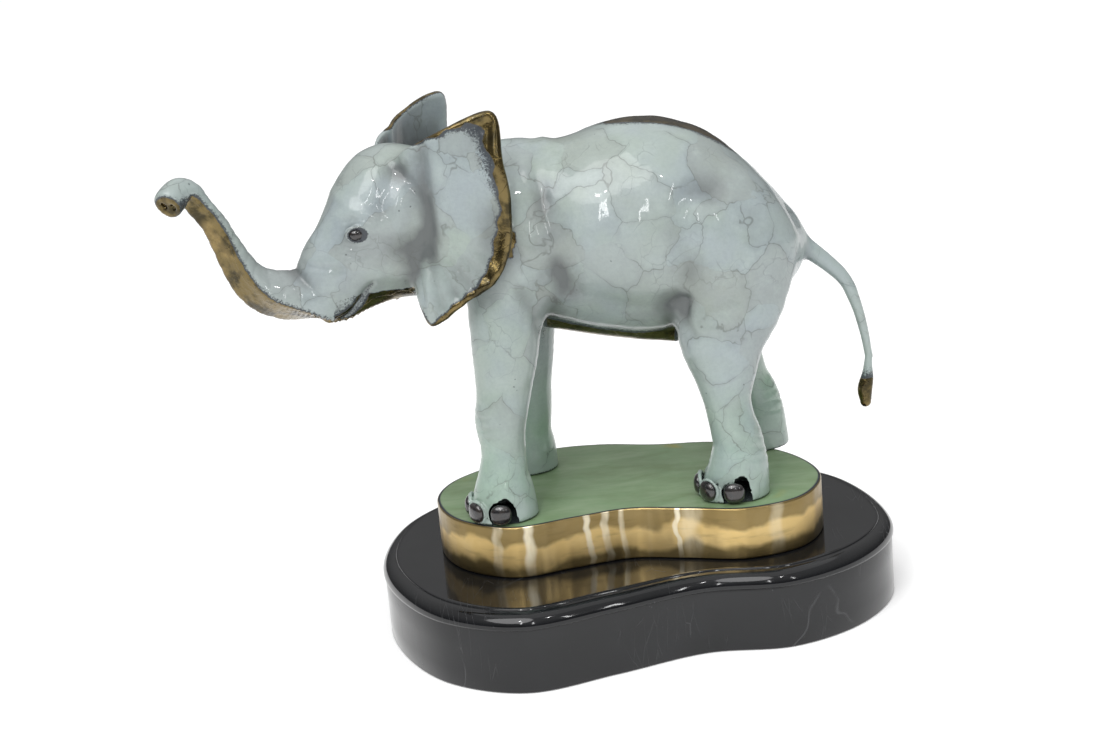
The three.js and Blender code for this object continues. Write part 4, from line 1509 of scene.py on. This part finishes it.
class SCULPTURE_OT_plinth(Operator):
    """Makes the black marble plinth with its moulded edge"""
    bl_idname = "sculpture.plinth"
    bl_label = "Marble plinth"

    def execute(self, context):
        sizes, colours = context.scene.sculpture_base, context.scene.sculpture_colours
        top = PLINTH_TOP * MM
        width, drop, proud, quirk = (sizes.moulding_width, sizes.moulding_drop, sizes.moulding_proud,
                                     sizes.moulding_quirk)
        shoulder_top, shoulder_foot = top - quirk, top - drop + quirk
        profile = [(0.001, 0), (0.0003, 0.0003), (0, 0.001), (0, 0.012), (0, 0.026), (0, top - drop - 0.0006)]
        profile += [(0.0002, top - drop - 0.0001), (0.0002, top - drop + 0.0003)]
        profile += arc((width, shoulder_foot), (width + proud, shoulder_top - shoulder_foot), -8, 90, 16)
        profile += [(width + 0.0001, top - quirk + 0.0002), (width + 0.0002, top - 0.0004)]
        profile += [(width + 0.0006, top), (width + 0.003, top)]
        piece = make_slab("black_marble_plinth", PLINTH_OUTLINE, profile, [black_marble(colours)], sizes.rows)
        place_piece(piece, "marble_plinth", "black_marble")
        return {"FINISHED"}


# ---- stage ----

CAMERA_PLACE = (-0.0536, -1.1596, 0.4723)
CAMERA_YAW, CAMERA_PITCH, CAMERA_ROLL = (math.radians(a) for a in (0.5, 15.0, 5.2))
CAMERA_LENS, CAMERA_SENSOR = 62.2, 36.0


def camera_axes():
    """The camera's right, up and backward directions."""
    back = np.array([-math.sin(CAMERA_YAW) * math.cos(CAMERA_PITCH),
                     -math.cos(CAMERA_YAW) * math.cos(CAMERA_PITCH), math.sin(CAMERA_PITCH)])
    right = np.cross(-back, [0, 0, 1])
    right /= np.linalg.norm(right)
    up = np.cross(right, -back)
    c, s = math.cos(CAMERA_ROLL), math.sin(CAMERA_ROLL)
    return right * c - up * s, right * s + up * c, back


def aim(thing, place, target):
    thing.location = place
    thing.rotation_mode = "QUATERNION"
    thing.rotation_quaternion = (Vector(place) - Vector(target)).to_track_quat("Z", "Y")


def add_light(name, kind, place, target, power, **settings):
    data = bpy.data.lights.new(name, kind)
    data.energy = power
    for key, value in settings.items():
        setattr(data, key, value)
    light = bpy.data.objects.new(name, data)
    bpy.context.scene.collection.objects.link(light)
    aim(light, place, target)
    return light


LIT_PLACE = (0, 0, 0.2)  # where every light points
STRIP = {"shape": "RECTANGLE", "size": 0.05, "size_y": 0.5}
SPARK = {"shape": "DISK", "size": 0.05}
LIGHTS = [  # name, kind, place in metres, power, settings
    ("window", "SUN", (-0.9, -1.5, 2.6), 1.7, {"angle": math.radians(44)}),
    ("overhead", "AREA", (0.1, 0.3, 1.9), 6.5, {"shape": "DISK", "size": 2.4}),
    ("strip_left", "AREA", (-0.42, -1.5, 1.0), 1.6, STRIP),
    ("strip_middle", "AREA", (0.10, -1.7, 0.9), 1.4, STRIP),
    ("strip_right", "AREA", (0.95, -1.3, 0.9), 1.6, STRIP),
    ("spark_left", "AREA", (-0.35, -0.9, 1.15), 1.0, SPARK),
    ("spark_right", "AREA", (0.40, -0.8, 1.2), 1.0, SPARK),
]
FLOOR_RADIUS, FLOOR_DROP = 14, 0.0002
FLOOR_GLOW = 0.2  # keeps the pale floor even from front to back


class SCULPTURE_OT_stage(Operator):
    """Sets up the pale floor, the soft studio light and the camera"""
    bl_idname = "sculpture.stage"
    bl_label = "Stage"

    def execute(self, context):
        scene = context.scene
        self.make_floor(scene.sculpture_colours)
        self.make_world(scene)
        self.make_lights()
        camera = bpy.data.objects.new("camera", bpy.data.cameras.new("camera"))
        scene.collection.objects.link(camera)
        camera.data.lens, camera.data.sensor_width = CAMERA_LENS, CAMERA_SENSOR
        camera.data.clip_start, camera.data.clip_end = 0.05, 60
        axes = camera_axes()
        camera.matrix_world = Matrix([
            [axes[0][k], axes[1][k], axes[2][k], CAMERA_PLACE[k]] for k in range(3)] + [[0, 0, 0, 1]])
        scene.camera = camera
        scene.view_settings.view_transform = "Standard"
        scene.cycles.use_denoising = True
        return {"FINISHED"}

    def make_floor(self, colours):
        bm = bmesh.new()
        bmesh.ops.create_circle(bm, cap_ends=True, segments=96, radius=FLOOR_RADIUS)
        bmesh.ops.translate(bm, verts=bm.verts, vec=(0, 0, -FLOOR_DROP))
        mesh = bpy.data.meshes.new("floor")
        bm.to_mesh(mesh)
        bm.free()
        f = Finish("floor_paper")
        mesh.materials.append(f.finish(f.shader(
            Base_Color=tuple(colours.floor), Roughness=0.9, Specular_IOR_Level=0.1,
            Emission_Color=tuple(colours.floor), Emission_Strength=FLOOR_GLOW)))
        new_object("floor", mesh)

    def make_world(self, scene):
        world = bpy.data.worlds.new("studio")
        world.use_nodes = True
        tree = world.node_tree
        tree.nodes.clear()
        start = Wire(tree, None)
        facing = start.node("ShaderNodeTexCoord", output="Generated")
        height = start.node("ShaderNodeSeparateXYZ", None, {"Vector": facing}, "Z")
        room = height.smooth(0.0, 0.8, 0.10, 0.55)
        seen = start.node("ShaderNodeLightPath", output="Is Camera Ray")
        strength = room * (1 - seen) + seen
        sky = start.node("ShaderNodeBackground", None, {"Color": (1, 1, 1, 1), "Strength": strength})
        out = tree.nodes.new("ShaderNodeOutputWorld")
        tree.links.new(sky.socket, out.inputs["Surface"])
        scene.world = world

    def make_lights(self):
        for name, kind, place, power, settings in LIGHTS:
            add_light(name, kind, place, LIT_PLACE, power, **settings)


# ---- the panel ----

class SCULPTURE_PT_panel(Panel):
    """Lists the sculpture's pieces, sizes and colours"""
    bl_idname = "SCULPTURE_PT_panel"
    bl_label = "Bronze elephant"
    bl_space_type = "VIEW_3D"
    bl_region_type = "UI"
    bl_category = "Sculpture"

    def draw(self, context):
        layout = self.layout
        for operator in OPERATORS:
            layout.operator(operator.bl_idname)
        for group in SETTINGS:
            settings = getattr(context.scene, group)
            box = layout.box()
            for name in settings.bl_rna.properties.keys():
                if name not in ("rna_type", "name"):
                    box.prop(settings, name)


OPERATORS = (SCULPTURE_OT_plinth, SCULPTURE_OT_ground, SCULPTURE_OT_elephant, SCULPTURE_OT_eyes,
             SCULPTURE_OT_toenails, SCULPTURE_OT_stage)
SETTINGS = {"sculpture_elephant": ElephantSizes, "sculpture_base": BaseSizes, "sculpture_colours": Colours}


def register():
    for group in SETTINGS.values():
        bpy.utils.register_class(group)
    for name, group in SETTINGS.items():
        setattr(bpy.types.Scene, name, PointerProperty(type=group))
    for operator in OPERATORS:
        bpy.utils.register_class(operator)
    bpy.utils.register_class(SCULPTURE_PT_panel)


def unregister():
    bpy.utils.unregister_class(SCULPTURE_PT_panel)
    for operator in reversed(OPERATORS):
        bpy.utils.unregister_class(operator)
    for name, group in SETTINGS.items():
        delattr(bpy.types.Scene, name)
        bpy.utils.unregister_class(group)


def main():
    register()
    bpy.ops.sculpture.plinth()
    bpy.ops.sculpture.ground()
    bpy.ops.sculpture.elephant()
    bpy.ops.sculpture.eyes()
    bpy.ops.sculpture.toenails()
    bpy.ops.sculpture.stage()


if __name__ == "__main__":
    main()
